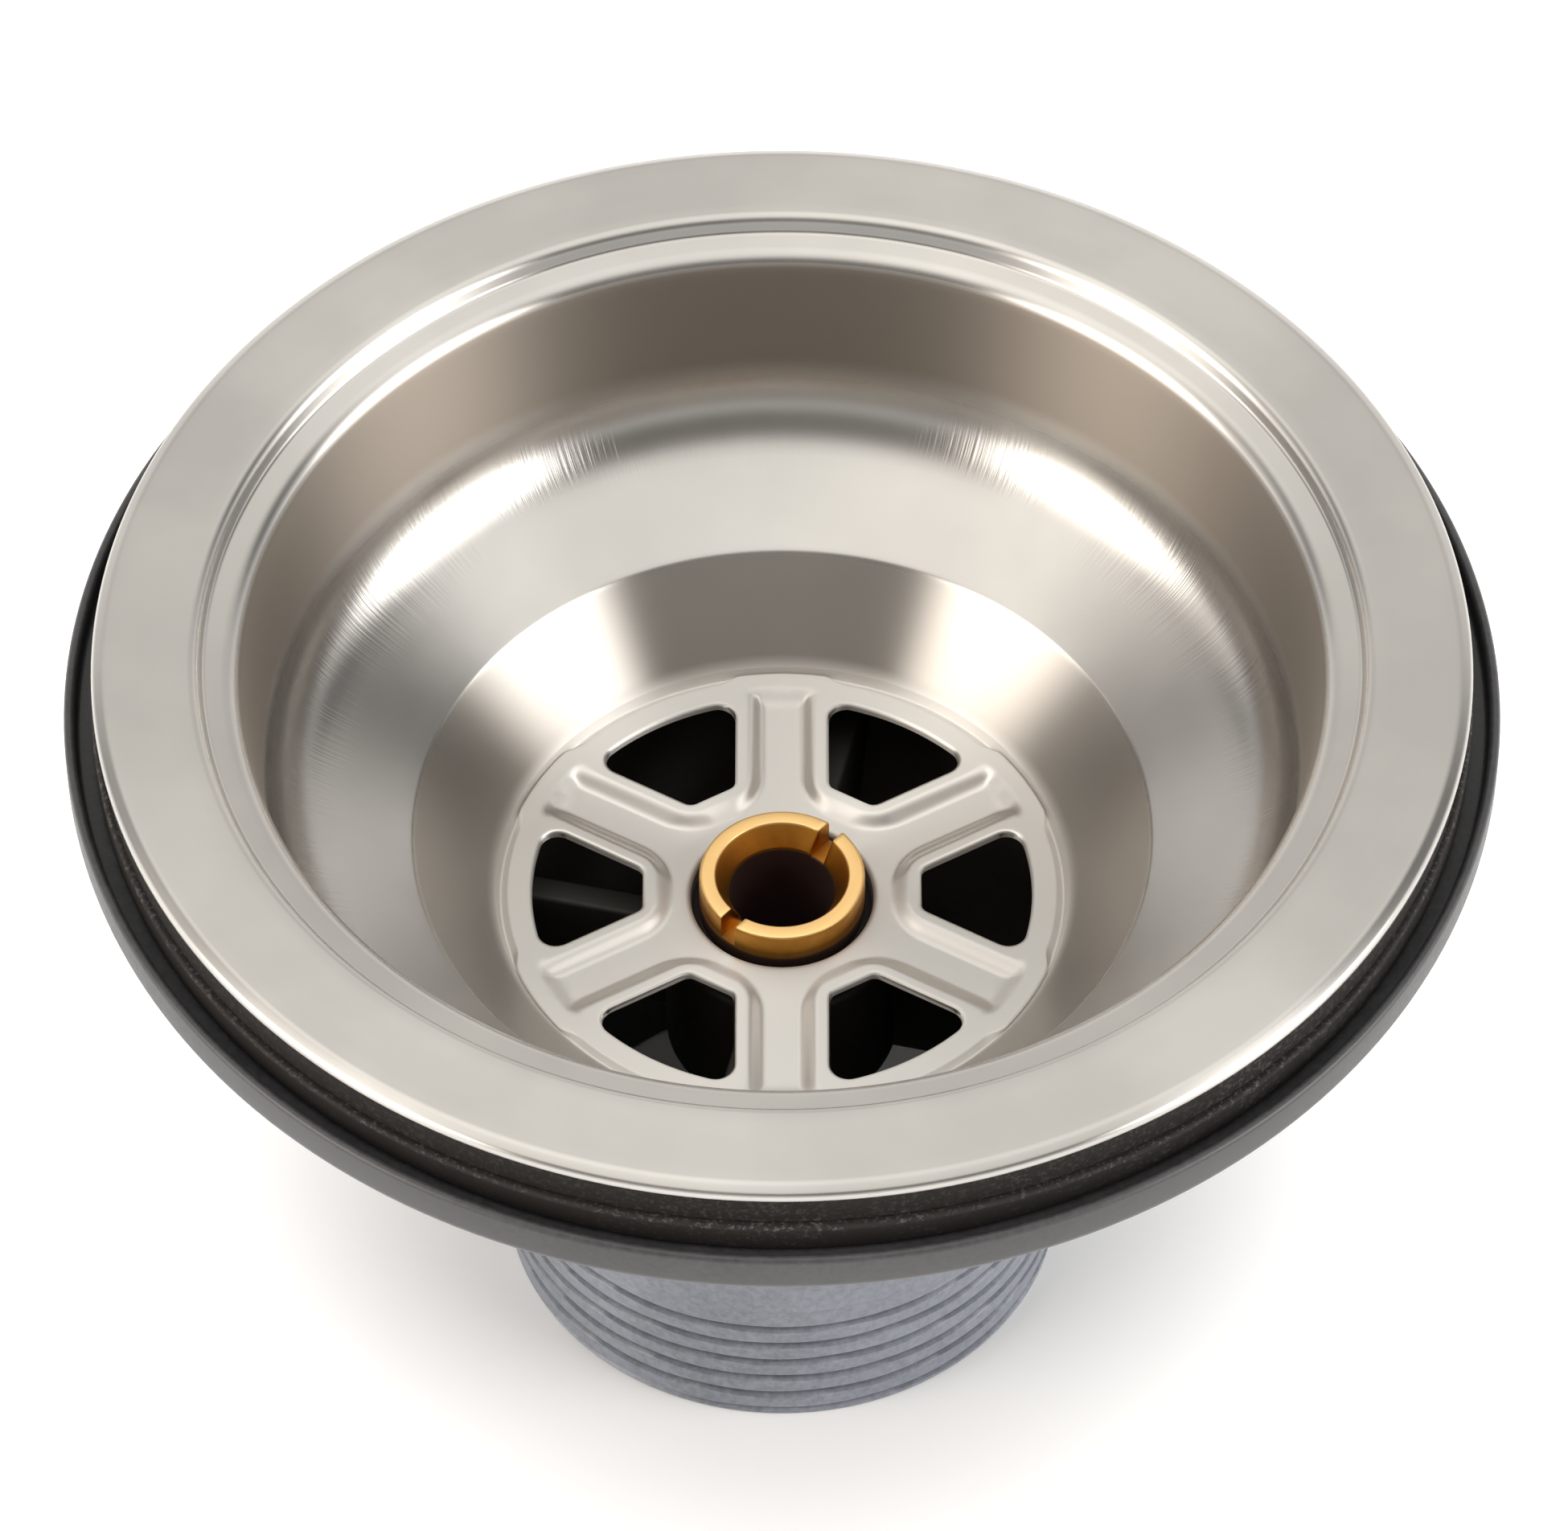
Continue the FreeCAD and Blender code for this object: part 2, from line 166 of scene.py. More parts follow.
class BodySettings(bpy.types.PropertyGroup):
    """Sizes and colour of the plastic body."""

    flange: length("Flange radius", "Outside radius of the flange", 58.0)
    flange_low: length("Flange underside", "Height of the flange's underside", 63.55)
    flange_floor: length("Flange floor", "Height of the floor under the lower ring", 65.75)
    lip_top: length("Lip top", "Height of the flange's lip", 67.6)
    lip_in: length("Lip inside", "Inside radius of the lip", 57.1)
    cup: length("Cup radius", "Outside radius of the cup below the flange", 48.2)
    cup_low: length("Cup bottom", "Height where the cup turns into the funnel", 57.15)
    wall: length("Wall", "Thickness of the moulding", 2.4)
    neck: length("Neck radius", "Outside radius of the neck above the outlet", 24.6)
    neck_top: length("Neck top", "Height where the neck turns into the funnel", 21.0)
    outlet: length("Outlet radius", "Radius over the outlet's thread", 23.9)
    outlet_top: length("Outlet length", "Length of the outlet up to the neck", 15.4)
    outlet_bore: length("Outlet bore", "Inside radius of the outlet", 20.4)
    thread_pitch: length("Thread pitch", "Distance between two turns of the outlet's thread", 2.309)
    thread_depth: length("Thread depth", "Depth of the outlet's thread", 1.0)
    thread_top: length("Thread top", "Height where the thread runs out", 12.9)
    boss: length("Boss radius", "Outside radius of the boss", 9.8)
    boss_top: length("Boss top", "Height of the boss", 37.5)
    boss_low: length("Boss underside", "Height of the boss's underside", 23.5)
    insert: length("Insert pocket", "Radius of the pocket round the brass insert", 8.02)
    insert_low: length("Insert underside", "Height of the pocket's floor", 25.5)
    arm_width: length("Arm width", "Width of a spider arm", 2.4)
    arm_top: length("Arm top", "Height of an arm's top", 36.1)
    arm_low: length("Arm underside", "Height of an arm's underside", 24.6)
    arm_turn: angle("Arm direction", "Direction of the first arm", 77.0)
    rib_width: length("Rib width", "Width of a rib under the flange", 2.0)
    rib_height: length("Rib height", "Height of a rib under the flange", 7.0)
    # Painted light: the plastic fades from a dark grey at the flange to a paler, bluer grey at the outlet,
    # standing in for the light that falls on the outlet
    plastic: colour("Plastic", "Colour of the grey plastic at the flange", 0.044, 0.043, 0.0455)
    outlet_painted_light: colour("Outlet grey", "Colour of the cleaner plastic at the outlet", 0.18, 0.193, 0.226)
    # Painted shade: near black plastic in the thread's roots and inside the funnel, where little light
    # reaches
    plastic_shade: colour("Grime", "Colour of the dark film inside the funnel", 0.03, 0.026, 0.022)


class BushSettings(bpy.types.PropertyGroup):
    """Sizes and colour of the slotted brass bush."""

    bore: length("Bore radius", "Radius of the bore", 4.45)
    mouth: length("Mouth radius", "Radius of the bore's tapered mouth", 5.6)
    mouth_low: length("Mouth foot", "Height where the taper ends", 41.5)
    head: length("Head radius", "Radius of the head", 6.9)
    head_top: length("Head top", "Height of the head's top", 43.5)
    head_low: length("Head underside", "Height of the head's underside", 39.3)
    shank: length("Shank radius", "Radius over the shank's thread", 6.0)
    shank_low: length("Shank end", "Height of the shank's end", 21.8)
    thread_pitch: length("Thread pitch", "Distance between two turns of the shank's thread", 1.5)
    thread_depth: length("Thread depth", "Depth of the shank's thread", 0.8)
    slot_half: length("Half slot", "Half the width of the screwdriver slot", 0.75)
    slot_low: length("Slot floor", "Height of the slot's floor", 41.1)
    slot_turn: angle("Slot direction", "Direction of the slot", 49.0)
    brass: colour("Brass", "Colour of the brass", 0.55, 0.26, 0.045)
    bright: colour("Bright brass", "Colour of the brass on the head's worn top", 0.95, 0.63, 0.27)
    # A dark stain and painted shade round the head's foot, where it sits in the hub's cup
    foot_stain_and_shade: colour("Foot stain", "Colour of the dirt round the head's foot", 0.03, 0.011, 0.006)
    # Painted shade: the bore is near black below its taper, where little light reaches
    bore_shade: colour("Bore stain", "Colour of the dark stain in the bore", 0.03, 0.009, 0.006)


class StageSettings(bpy.types.PropertyGroup):
    """Camera, floor and light."""

    camera_side: length("Camera side", "Sideways place of the camera", 0.16)
    camera_back: length("Camera back", "Distance of the camera in front of the axis", 439.2)
    camera_up: length("Camera height", "Height of the camera above the outlet's end", 580.9)
    camera_tilt: angle("Camera tilt", "How far the camera looks down", 49.998)
    lens: number("Lens", "Focal length for a 36 mm wide frame", 191.91)
    floor: colour("Floor", "Colour of the floor", 0.86, 0.86, 0.86)
    floor_glow: number("Floor glow", "Light added to the floor where the camera sees it", 0.45)
    front: colour("Front", "Light from the dark room in front of the part", 0.2, 0.186, 0.17)
    side: colour("Side", "Light from the walls on both sides", 0.15, 0.148, 0.148)
    wall: colour("Wall", "Light from the pale wall behind the part", 0.79, 0.777, 0.746)
    sweep: colour("Sweep", "Light from the white sheet that curves up round the part", 0.9, 0.9, 0.9)
    backdrop: colour("Backdrop", "Light from the white sheet behind the part", 1.1, 1.09, 1.06)
    ceiling: colour("Ceiling", "Light from the pale ceiling", 1.42, 1.4, 1.35)
    left_box: number("Left lamp", "Light from the soft lamp in front on the left", 5.0)
    right_box: number("Right lamp", "Light from the soft lamp in front on the right", 6.2)
    left_halo: number("Left halo", "Light from the wall round the left lamp", 1.0)
    right_halo: number("Right halo", "Light from the wall round the right lamp", 0.9)
    left_tint: colour("Left tint", "Colour of the lamps on the left", 1.0, 0.94, 0.87)
    right_tint: colour("Right tint", "Colour of the lamps on the right", 1.0, 0.985, 0.96)
    window_light: number("Window", "Light from a faint lamp high on the left", 0.25)


class StrainerSettings(bpy.types.PropertyGroup):
    """Everything that the sidebar panel can change."""

    bowl: bpy.props.PointerProperty(type=BowlSettings, name="Bowl", description="Pressed steel bowl")
    gaskets: bpy.props.PointerProperty(type=GasketSettings, name="Gaskets", description="Rubber rings")
    body: bpy.props.PointerProperty(type=BodySettings, name="Body", description="Plastic body")
    bush: bpy.props.PointerProperty(type=BushSettings, name="Bush", description="Brass bush")
    stage: bpy.props.PointerProperty(type=StageSettings, name="Stage", description="Camera, floor and light")


def smooth_step(value):
    """0 below 0, 1 above 1, and 3v² - 2v³ between."""
    v = np.clip(value, 0, 1)
    return v * v * (3 - 2 * v)


def divided(line, longest):
    """The line's points, with more put in evenly on each run that is longer than longest."""
    runs = np.diff(line, axis=0)
    spans = np.linalg.norm(runs, axis=1)
    kept = spans > TINY
    starts, runs, spans = line[:-1][kept], runs[kept], spans[kept]
    counts = np.ceil(spans / longest).astype(int)
    index = np.repeat(np.arange(len(counts)), counts)
    step = np.arange(counts.sum()) - np.repeat(np.cumsum(counts) - counts, counts)
    share = step / counts[index]
    return np.vstack([starts[index] + runs[index] * share[:, None], line[-1:]])


def rounded(corners, longest=RUN, arc_steps=8):
    """A line of straight runs with rounded corners, from rows of (radius, height, fillet).

    A fillet touches both runs at fillet / tan(half the corner's angle) from the corner. Its centre is on the
    bisector, and its points swing evenly from the first touching point to the second.
    """
    table = np.array(corners, float)
    place, fillet = table[:, :2], table[1:-1, 2:]
    back = place[:-2] - place[1:-1]
    ahead = place[2:] - place[1:-1]
    back /= np.linalg.norm(back, axis=1, keepdims=True)
    ahead /= np.linalg.norm(ahead, axis=1, keepdims=True)
    half = np.arccos(np.clip((back * ahead).sum(1, keepdims=True), -1, 1)) / 2
    bisector = back + ahead
    bisector /= np.linalg.norm(bisector, axis=1, keepdims=True)
    centre = place[1:-1] + bisector * fillet / np.sin(half)
    first = place[1:-1] + back * fillet / np.tan(half) - centre
    last = place[1:-1] + ahead * fillet / np.tan(half) - centre
    sweep = (math.pi - 2 * half)[:, None]
    share = np.linspace(0, 1, arc_steps + 1)[None, :, None]
    swing = np.sin((1 - share) * sweep) * first[:, None] + np.sin(share * sweep) * last[:, None]
    arcs = centre[:, None] + swing / np.sin(sweep)
    return divided(np.vstack([place[:1], arcs.reshape(-1, 2), place[-1:]]), longest)


def under_sheet(corners, sheet):
    """Corners of a bent sheet's other side: each run and its bends move one thickness to the left."""
    table = np.array(corners, float)
    runs = np.diff(table[:, :2], axis=0)
    runs /= np.linalg.norm(runs, axis=1, keepdims=True)
    lefts = np.stack([-runs[:, 1], runs[:, 0]], 1)
    before = np.vstack([lefts[:1], lefts])
    after = np.vstack([lefts, lefts[-1:]])
    moved = table[:, :2] + (before + after) * sheet / (1 + (before * after).sum(1, keepdims=True))
    turn = before[:, 0] * after[:, 1] - before[:, 1] * after[:, 0]
    fillet = np.where(turn > 0, table[:, 2] - sheet, table[:, 2] + sheet)
    return np.column_stack([moved, np.maximum(fillet, LEAST_BEND)])


def ring_angles():
    """Even directions once round the axis."""
    return np.arange(RING) * (2 * math.pi / RING)


def lathe(line):
    """Grid of a line of (radius, height) carried round the axis: rows follow the line, columns the turn."""
    turn = ring_angles()
    radius = line[:, :1]
    height = np.broadcast_to(line[:, 1:], (len(line), RING))
    return np.stack([radius * np.cos(turn), radius * np.sin(turn), height], -1)


def shell(grid, close_rows=False):
    """Points and four-sided faces of a (rows, columns, 3) grid, columns closed round, rows if asked."""
    rows, columns = grid.shape[:2]
    row = np.arange(rows if close_rows else rows - 1)[:, None]
    column = np.arange(columns)[None, :]
    next_row = (row + 1) % rows
    next_column = (column + 1) % columns
    corners = [row * columns + column, row * columns + next_column,
               next_row * columns + next_column, next_row * columns + column]
    return grid.reshape(-1, 3), np.stack(corners, -1).reshape(-1, 4)


def turned_copies(grid, count, start=0.0):
    """The grid repeated evenly round the axis."""
    return [turned(grid, start + 2 * math.pi * i / count) for i in range(count)]


def turned(grid, turn):
    """The grid turned about the axis."""
    c, s = math.cos(turn), math.sin(turn)
    x, y, z = np.moveaxis(grid, -1, 0)
    return np.stack([c * x - s * y, s * x + c * y, z], -1)


def make_piece(name, shells, body, node, material):
    """One object from shells of points and faces, with doubled points merged and faces turned outwards."""
    starts = np.cumsum([0] + [len(part[0]) for part in shells])
    points = np.vstack([part[0] for part in shells])
    faces = np.vstack([part[1] + start for part, start in zip(shells, starts)])
    mesh = bpy.data.meshes.new(name)
    mesh.vertices.add(len(points))
    mesh.vertices.foreach_set("co", points.ravel())
    mesh.loops.add(faces.size)
    mesh.loops.foreach_set("vertex_index", faces.ravel())
    mesh.polygons.add(len(faces))
    mesh.polygons.foreach_set("loop_start", np.arange(len(faces)) * faces.shape[1])
    mesh.update(calc_edges=True)
    work = bmesh.new()
    work.from_mesh(mesh)
    bmesh.ops.remove_doubles(work, verts=work.verts, dist=MERGE)
    bmesh.ops.dissolve_degenerate(work, dist=TINY, edges=work.edges)
    bmesh.ops.recalc_face_normals(work, faces=work.faces)
    open_edges = sum(1 for edge in work.edges if not edge.is_manifold)
    work.to_mesh(mesh)
    work.free()
    if open_edges:
        raise RuntimeError(f"{name} has {open_edges} open edges")
    mesh.shade_smooth()
    mesh.set_sharp_from_angle(angle=SHARP_ANGLE)
    mesh.materials.append(material)
    piece = bpy.data.objects.new(name, mesh)
    bpy.context.scene.collection.objects.link(piece)
    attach(piece, body)
    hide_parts(node)


def thread_share(phase):
    """Depth of a rounded thread over one turn: 0 along the crest, 1 along the root, smooth flanks between."""
    crest, flank = 0.42, 0.36
    place = np.abs((phase % 1) - 0.5) * 2
    return smooth_step((crest - place) / flank)


class Shader:
    """Adds nodes to one material or node group and joins them."""

    def __init__(self, tree):
        self.tree = tree

    def add(self, kind, settings=(), **inputs):
        """A node of one kind, with plain settings and with inputs by name, each a value or a socket."""
        node = self.tree.nodes.new(kind)
        for key, value in dict(settings).items():
            setattr(node, key, value)
        for key, value in inputs.items():
            self.feed(node.inputs[key.replace("_", " ")], value)
        return node

    def feed(self, socket, value):
        """Sets a socket to a value, or links it to another node's output."""
        if isinstance(value, bpy.types.NodeSocket):
            self.tree.links.new(value, socket)
        else:
            socket.default_value = value

    def math(self, operation, first, second=0.0):
        """Result of one sum."""
        node = self.add("ShaderNodeMath", {"operation": operation})
        self.feed(node.inputs[0], first)
        self.feed(node.inputs[1], second)
        return node.outputs[0]

    def times(self, first, second):
        """Product of two values."""
        return self.math("MULTIPLY", first, second)

    def plus(self, first, second):
        """Sum of two values."""
        return self.math("ADD", first, second)

    def less(self, first, second):
        """Difference of two values."""
        return self.math("SUBTRACT", first, second)

    def spread(self, x, y):
        """Distance from the upright axis."""
        return self.math("SQRT", self.plus(self.times(x, x), self.times(y, y)))

    def remap(self, value, low, high, to_low=0.0, to_high=1.0, smooth=False):
        """Value carried from one range to another and held at its ends."""
        node = self.add("ShaderNodeMapRange", {"interpolation_type": "SMOOTHSTEP" if smooth else "LINEAR"})
        for socket, entry in zip(node.inputs, (value, low, high, to_low, to_high)):
            self.feed(socket, entry)
        return node.outputs[0]

    def mix(self, factor, first, second, blend="MIX"):
        """One colour fading to another, or multiplied by it."""
        node = self.add("ShaderNodeMix", {"data_type": "RGBA", "blend_type": blend, "clamp_factor": True})
        for place, value in ((0, factor), (6, first), (7, second)):
            self.feed(node.inputs[place], value)
        return node.outputs[2]

    def noise(self, vector, scale=1.0, detail=3.0, roughness=0.6):
        """Soft noise from 0 to 1."""
        node = self.add("ShaderNodeTexNoise", Vector=vector, Scale=scale, Detail=detail, Roughness=roughness)
        return node.outputs["Fac"]

    def join(self, first, second):
        """Two shaders added."""
        node = self.tree.nodes.new("ShaderNodeAddShader")
        self.feed(node.inputs[0], first)
        self.feed(node.inputs[1], second)
        return node.outputs[0]


def rgba(value):
    """A colour with full cover."""
    return (value[0], value[1], value[2], 1.0)


def polar_group():
    """Node group: distance from the axis, height, and noises stretched round the axis or along the radius."""
    name = "polar_marks"
    if name in bpy.data.node_groups:
        return bpy.data.node_groups[name]
    height_share, ray_drift = 0.7, 60.0
    tree = bpy.data.node_groups.new(name, "ShaderNodeTree")
    for title in ("Ring Scale", "Ray Scale"):
        socket = tree.interface.new_socket(name=title, in_out="INPUT", socket_type="NodeSocketFloat")
        socket.default_value = 1.0
    for title in ("Radius", "Height", "Rings", "Rays"):
        tree.interface.new_socket(name=title, in_out="OUTPUT", socket_type="NodeSocketFloat")
    sh = Shader(tree)
    entry = tree.nodes.new("NodeGroupInput").outputs
    leave = tree.nodes.new("NodeGroupOutput").inputs
    place = tree.nodes.new("ShaderNodeTexCoord").outputs["Object"]
    x, y, z = sh.add("ShaderNodeSeparateXYZ", Vector=place).outputs
    radius = sh.spread(x, y)
    safe = sh.math("MAXIMUM", radius, MM)
    across = sh.math("DIVIDE", x, safe)
    along = sh.math("DIVIDE", y, safe)
    outwards = sh.times(sh.plus(radius, sh.times(z, height_share)), entry["Ring Scale"])
    ring_place = sh.add("ShaderNodeCombineXYZ", X=across, Y=along, Z=outwards).outputs[0]
    ray_place = sh.add("ShaderNodeCombineXYZ", X=sh.times(across, entry["Ray Scale"]),
                       Y=sh.times(along, entry["Ray Scale"]), Z=sh.times(z, ray_drift)).outputs[0]
    sh.feed(leave["Radius"], radius)
    sh.feed(leave["Height"], z)
    sh.feed(leave["Rings"], sh.noise(ring_place))
    sh.feed(leave["Rays"], sh.noise(ray_place))
    return tree


def new_material(name):
    """An empty material with its shader builder, Principled shader and the place on the object."""
    material = bpy.data.materials.new(name)
    material.use_nodes = True
    tree = material.node_tree
    tree.nodes.clear()
    sh = Shader(tree)
    shader = tree.nodes.new("ShaderNodeBsdfPrincipled")
    out = tree.nodes.new("ShaderNodeOutputMaterial")
    tree.links.new(shader.outputs[0], out.inputs[0])
    place = tree.nodes.new("ShaderNodeTexCoord").outputs["Object"]
    return material, sh, shader, place


def polar_marks(sh, ring_scale=1.0, ray_scale=1.0):
    """The polar node group placed in a material with its own scales."""
    node = sh.tree.nodes.new("ShaderNodeGroup")
    node.node_tree = polar_group()
    node.inputs["Ring Scale"].default_value = ring_scale
    node.inputs["Ray Scale"].default_value = ray_scale
    return node.outputs


def bump(sh, shader, height, strength, distance):
    """Feeds a bump from a height to the shader's normal."""
    node = sh.add("ShaderNodeBump", Strength=strength, Distance=distance, Height=height)
    sh.feed(shader.inputs["Normal"], node.outputs[0])


def round_grain(sh, shader, amount):
    """Stretches the gloss square to fine grooves that run round the axis."""
    grain = sh.add("ShaderNodeTangent", {"direction_type": "RADIAL", "axis": "Z"})
    sh.feed(shader.inputs["Tangent"], grain.outputs[0])
    shader.inputs["Anisotropic"].default_value = amount
    shader.inputs["Anisotropic Rotation"].default_value = 0.25


def steel_material(s):
    """Satin pressed steel: soft blotches and faint rings, drawn streaks where the wall bends, painted shade
    on the wall and the cone, a worn grid, and a dark stain with painted shade in the hub's cup."""
    material, sh, shader, place = new_material("satin_steel")
    marks = polar_marks(sh, ring_scale=2600.0, ray_scale=150.0)
    radius, height = marks["Radius"], marks["Height"]
    streaks_begin, streaks_end = (51.5 * MM, 54 * MM), (59 * MM, 56 * MM)
    wall_shade_edge = (57.5 * MM, 61 * MM)
    seam, cup_edge = 0.3 * MM, 0.1 * MM
    grid_near, grid_far = 0.3 * MM, 1.2 * MM
    cone_below, cone_above = 0.4 * MM, 0.2 * MM
    cup_near, cup_far = 1.0 * MM, 1.5 * MM
    dull_share, ring_rough, ring_height, streak_height = 0.89, 0.03, 0.12, 1.2

    blotch = sh.noise(place, scale=60.0, roughness=0.5)
    rings = sh.times(sh.remap(marks["Rings"], low=0.3, high=0.7), sh.remap(radius, s.ledge, s.rim_flat))
    bend = sh.times(sh.remap(height, *streaks_begin, smooth=True),
                    sh.remap(height, *streaks_end, smooth=True))
    streak = sh.times(sh.remap(marks["Rays"], low=0.35, high=0.65), bend)
    # Mask of the bowl's inner wall, where the steel gets painted shade
    wall = sh.times(sh.remap(height, *wall_shade_edge, smooth=True), sh.remap(radius, s.mouth + seam, s.mouth))
    grid = sh.remap(height, s.grid_top + grid_far, s.grid_top + grid_near)
    # Mask of the cone, where the steel gets painted shade
    cone = sh.less(sh.remap(height, s.shelf_low + cone_above, s.shelf_low - cone_below), grid)
    # Mask of the hub's cup, which gets a dark stain and painted shade
    cup = sh.times(sh.remap(radius, s.cup_radius + seam, s.cup_radius - cup_edge),
                   sh.remap(height, s.cup_floor + cup_far, s.cup_floor + cup_near))

    dull = rgba([part * dull_share for part in s.steel])
    paint = sh.mix(sh.remap(blotch, low=0.35, high=0.65), dull, rgba(s.steel))
    rough = sh.remap(blotch, low=0.3, high=0.7, to_low=0.2, to_high=0.23)
    rough = sh.plus(rough, sh.times(rings, ring_rough))
    # Painted shade on the wall and the cone, a worn grid, and a dark stain with painted shade in the hub's
    # cup
    for share, finish, duller in (
            (wall, s.film, s.wall_dull), (grid, s.worn, s.worn_dull),
            (cone, s.cone_shade, s.cone_dull), (cup, s.hub_stain_and_shade, s.stain_dull)):
        paint = sh.mix(share, paint, rgba(finish))
        rough = sh.plus(rough, sh.times(share, duller))
    sh.feed(shader.inputs["Base Color"], paint)
    sh.feed(shader.inputs["Roughness"], rough)
    # The hub's cup loses its metal look under the stain and painted shade
    sh.feed(shader.inputs["Metallic"], sh.less(1.0, cup))
    round_grain(sh, shader, amount=0.9)
    relief = sh.plus(sh.times(rings, ring_height), sh.times(streak, streak_height))
    bump(sh, shader, relief, strength=s.scratches, distance=0.02 * MM)
    return material


def rubber_material(s):
    """Matte rubber: pale specks, more of them to the right and along the joint, and a dusty lower ring."""
    material, sh, shader, place = new_material("black_rubber")
    joint_near, joint_far, seam = 0.2 * MM, 0.45 * MM, 0.02 * MM
    x, y, z = sh.add("ShaderNodeSeparateXYZ", Vector=place).outputs
    speck = sh.noise(place, scale=2400.0, roughness=0.7)
    cloud = sh.noise(place, scale=120.0)
    joint = sh.remap(sh.math("ABSOLUTE", sh.less(z, s.lower_top)), joint_far, joint_near)
    lower = sh.remap(z, s.lower_top + seam, s.lower_top, to_high=0.1)
    side = sh.remap(x, -s.upper_out, s.upper_out, to_low=0.2, to_high=0.6)
    specks = sh.times(sh.remap(speck, low=0.5, high=0.66), sh.math("MAXIMUM", side, joint))
    dust = sh.math("MAXIMUM", lower, sh.times(specks, sh.remap(cloud, low=0.3, high=0.6, to_low=0.3)))
    sh.feed(shader.inputs["Base Color"], sh.mix(dust, rgba(s.rubber), rgba(s.dust)))
    sh.feed(shader.inputs["Roughness"], sh.remap(cloud, low=0.3, high=0.7, to_low=0.58, to_high=0.75))
    shader.inputs["Specular IOR Level"].default_value = 0.25
    bump(sh, shader, speck, strength=0.5, distance=0.06 * MM)
    return material


def plastic_material(s):
    """Moulded grey plastic with painted light: dull and dark at the flange, paler at the outlet, and painted
    shade in the thread's roots and inside the funnel.
    """
    material, sh, shader, place = new_material("grey_plastic")
    marks = polar_marks(sh)
    radius, height = marks["Radius"], marks["Height"]
    skin_near, skin_far, flange_fade = 1.9 * MM, 2.2 * MM, 1.0 * MM
    crest, root, thread_end, thread_full = 0.9 * MM, 1.6 * MM, 0.2 * MM, 0.6 * MM
    grain_part, cloud_part, inside_rough = 0.55, 0.45, 0.2

    cloud = sh.noise(place, scale=45.0, detail=4.0, roughness=0.55)
    grain = sh.noise(place, scale=1500.0, roughness=0.65)
    mottle = sh.plus(sh.times(grain, grain_part), sh.times(cloud, cloud_part))
    shade = sh.remap(mottle, low=0.38, high=0.62, to_low=0.74, to_high=1.22)
    # Painted light: darker at the flange, paler and bluer towards the outlet
    grey = sh.mix(sh.remap(height, s.flange_low, s.outlet_top), rgba(s.plastic), rgba(s.outlet_painted_light))
    paint = sh.mix(1.0, grey, shade, blend="MULTIPLY")
    # Painted shade inside the funnel below the flange, where little light reaches
    depth = sh.less(sh.remap(height, s.neck_top, s.cup_low, s.neck, s.cup), radius)
    inside = sh.times(sh.remap(depth, skin_near, skin_far),
                      sh.remap(height, s.flange_low + flange_fade, s.flange_low))
    # Painted shade in the roots of the outlet's thread
    groove = sh.times(sh.remap(depth, crest, root, to_high=0.7),
                      sh.remap(height, s.outlet_top - thread_end, s.outlet_top - thread_full))
    for share in (groove, inside):
        paint = sh.mix(share, paint, rgba(s.plastic_shade))
    rough = sh.remap(grain, low=0.3, high=0.7, to_low=0.34, to_high=0.46)
    sh.feed(shader.inputs["Base Color"], paint)
    sh.feed(shader.inputs["Roughness"], sh.plus(rough, sh.times(inside, inside_rough)))
    bump(sh, shader, grain, strength=0.35, distance=0.03 * MM)
    return material


def brass_material(s):
    """Turned brass: fine tool rings, tarnished patches, a worn top, painted shade in the bore, and a dark
    stain with painted shade at the head's foot.
    """
    material, sh, shader, place = new_material("turned_brass")
    marks = polar_marks(sh, ring_scale=9000.0)
    radius, height = marks["Radius"], marks["Height"]
    tarnish, stain_and_shade_rough = (0.8, 0.75, 0.65), 0.4
    bore_near, bore_far, bore_fade = 0.1 * MM, 0.25 * MM, 0.3 * MM
    worn_low, worn_high = 0.2 * MM, 0.05 * MM
    foot_above, foot_below = 0.3 * MM, 0.4 * MM

    patch = sh.noise(place, scale=320.0)
    # Painted shade in the bore below its taper
    deep = sh.times(sh.remap(radius, s.bore + bore_far, s.bore + bore_near),
                    sh.remap(height, s.mouth_low, s.mouth_low - bore_fade))
    worn = sh.remap(height, s.head_top - worn_low, s.head_top - worn_high)
    # Mask of the head's foot, which gets a dark stain and painted shade
    foot = sh.times(sh.remap(height, s.slot_low + foot_above, s.slot_low - foot_below),
                    sh.remap(radius, s.shank, s.head))
    dull = rgba([part * share for part, share in zip(s.brass, tarnish)])
    paint = sh.mix(sh.remap(patch, low=0.35, high=0.65), dull, rgba(s.brass))
    for share, finish in ((worn, s.bright), (foot, s.foot_stain_and_shade), (deep, s.bore_shade)):
        paint = sh.mix(share, paint, rgba(finish))
    # The foot's stain and painted shade and the bore's painted shade lose the metal look
    stain_and_shade = sh.math("MAXIMUM", deep, foot)
    rough = sh.remap(patch, low=0.3, high=0.7, to_low=0.42, to_high=0.34)
    sh.feed(shader.inputs["Base Color"], paint)
    sh.feed(shader.inputs["Roughness"], sh.plus(rough, sh.times(stain_and_shade, stain_and_shade_rough)))
    sh.feed(shader.inputs["Metallic"], sh.less(1.0, stain_and_shade))
    bump(sh, shader, marks["Rings"], strength=0.3, distance=0.03 * MM)
    return material


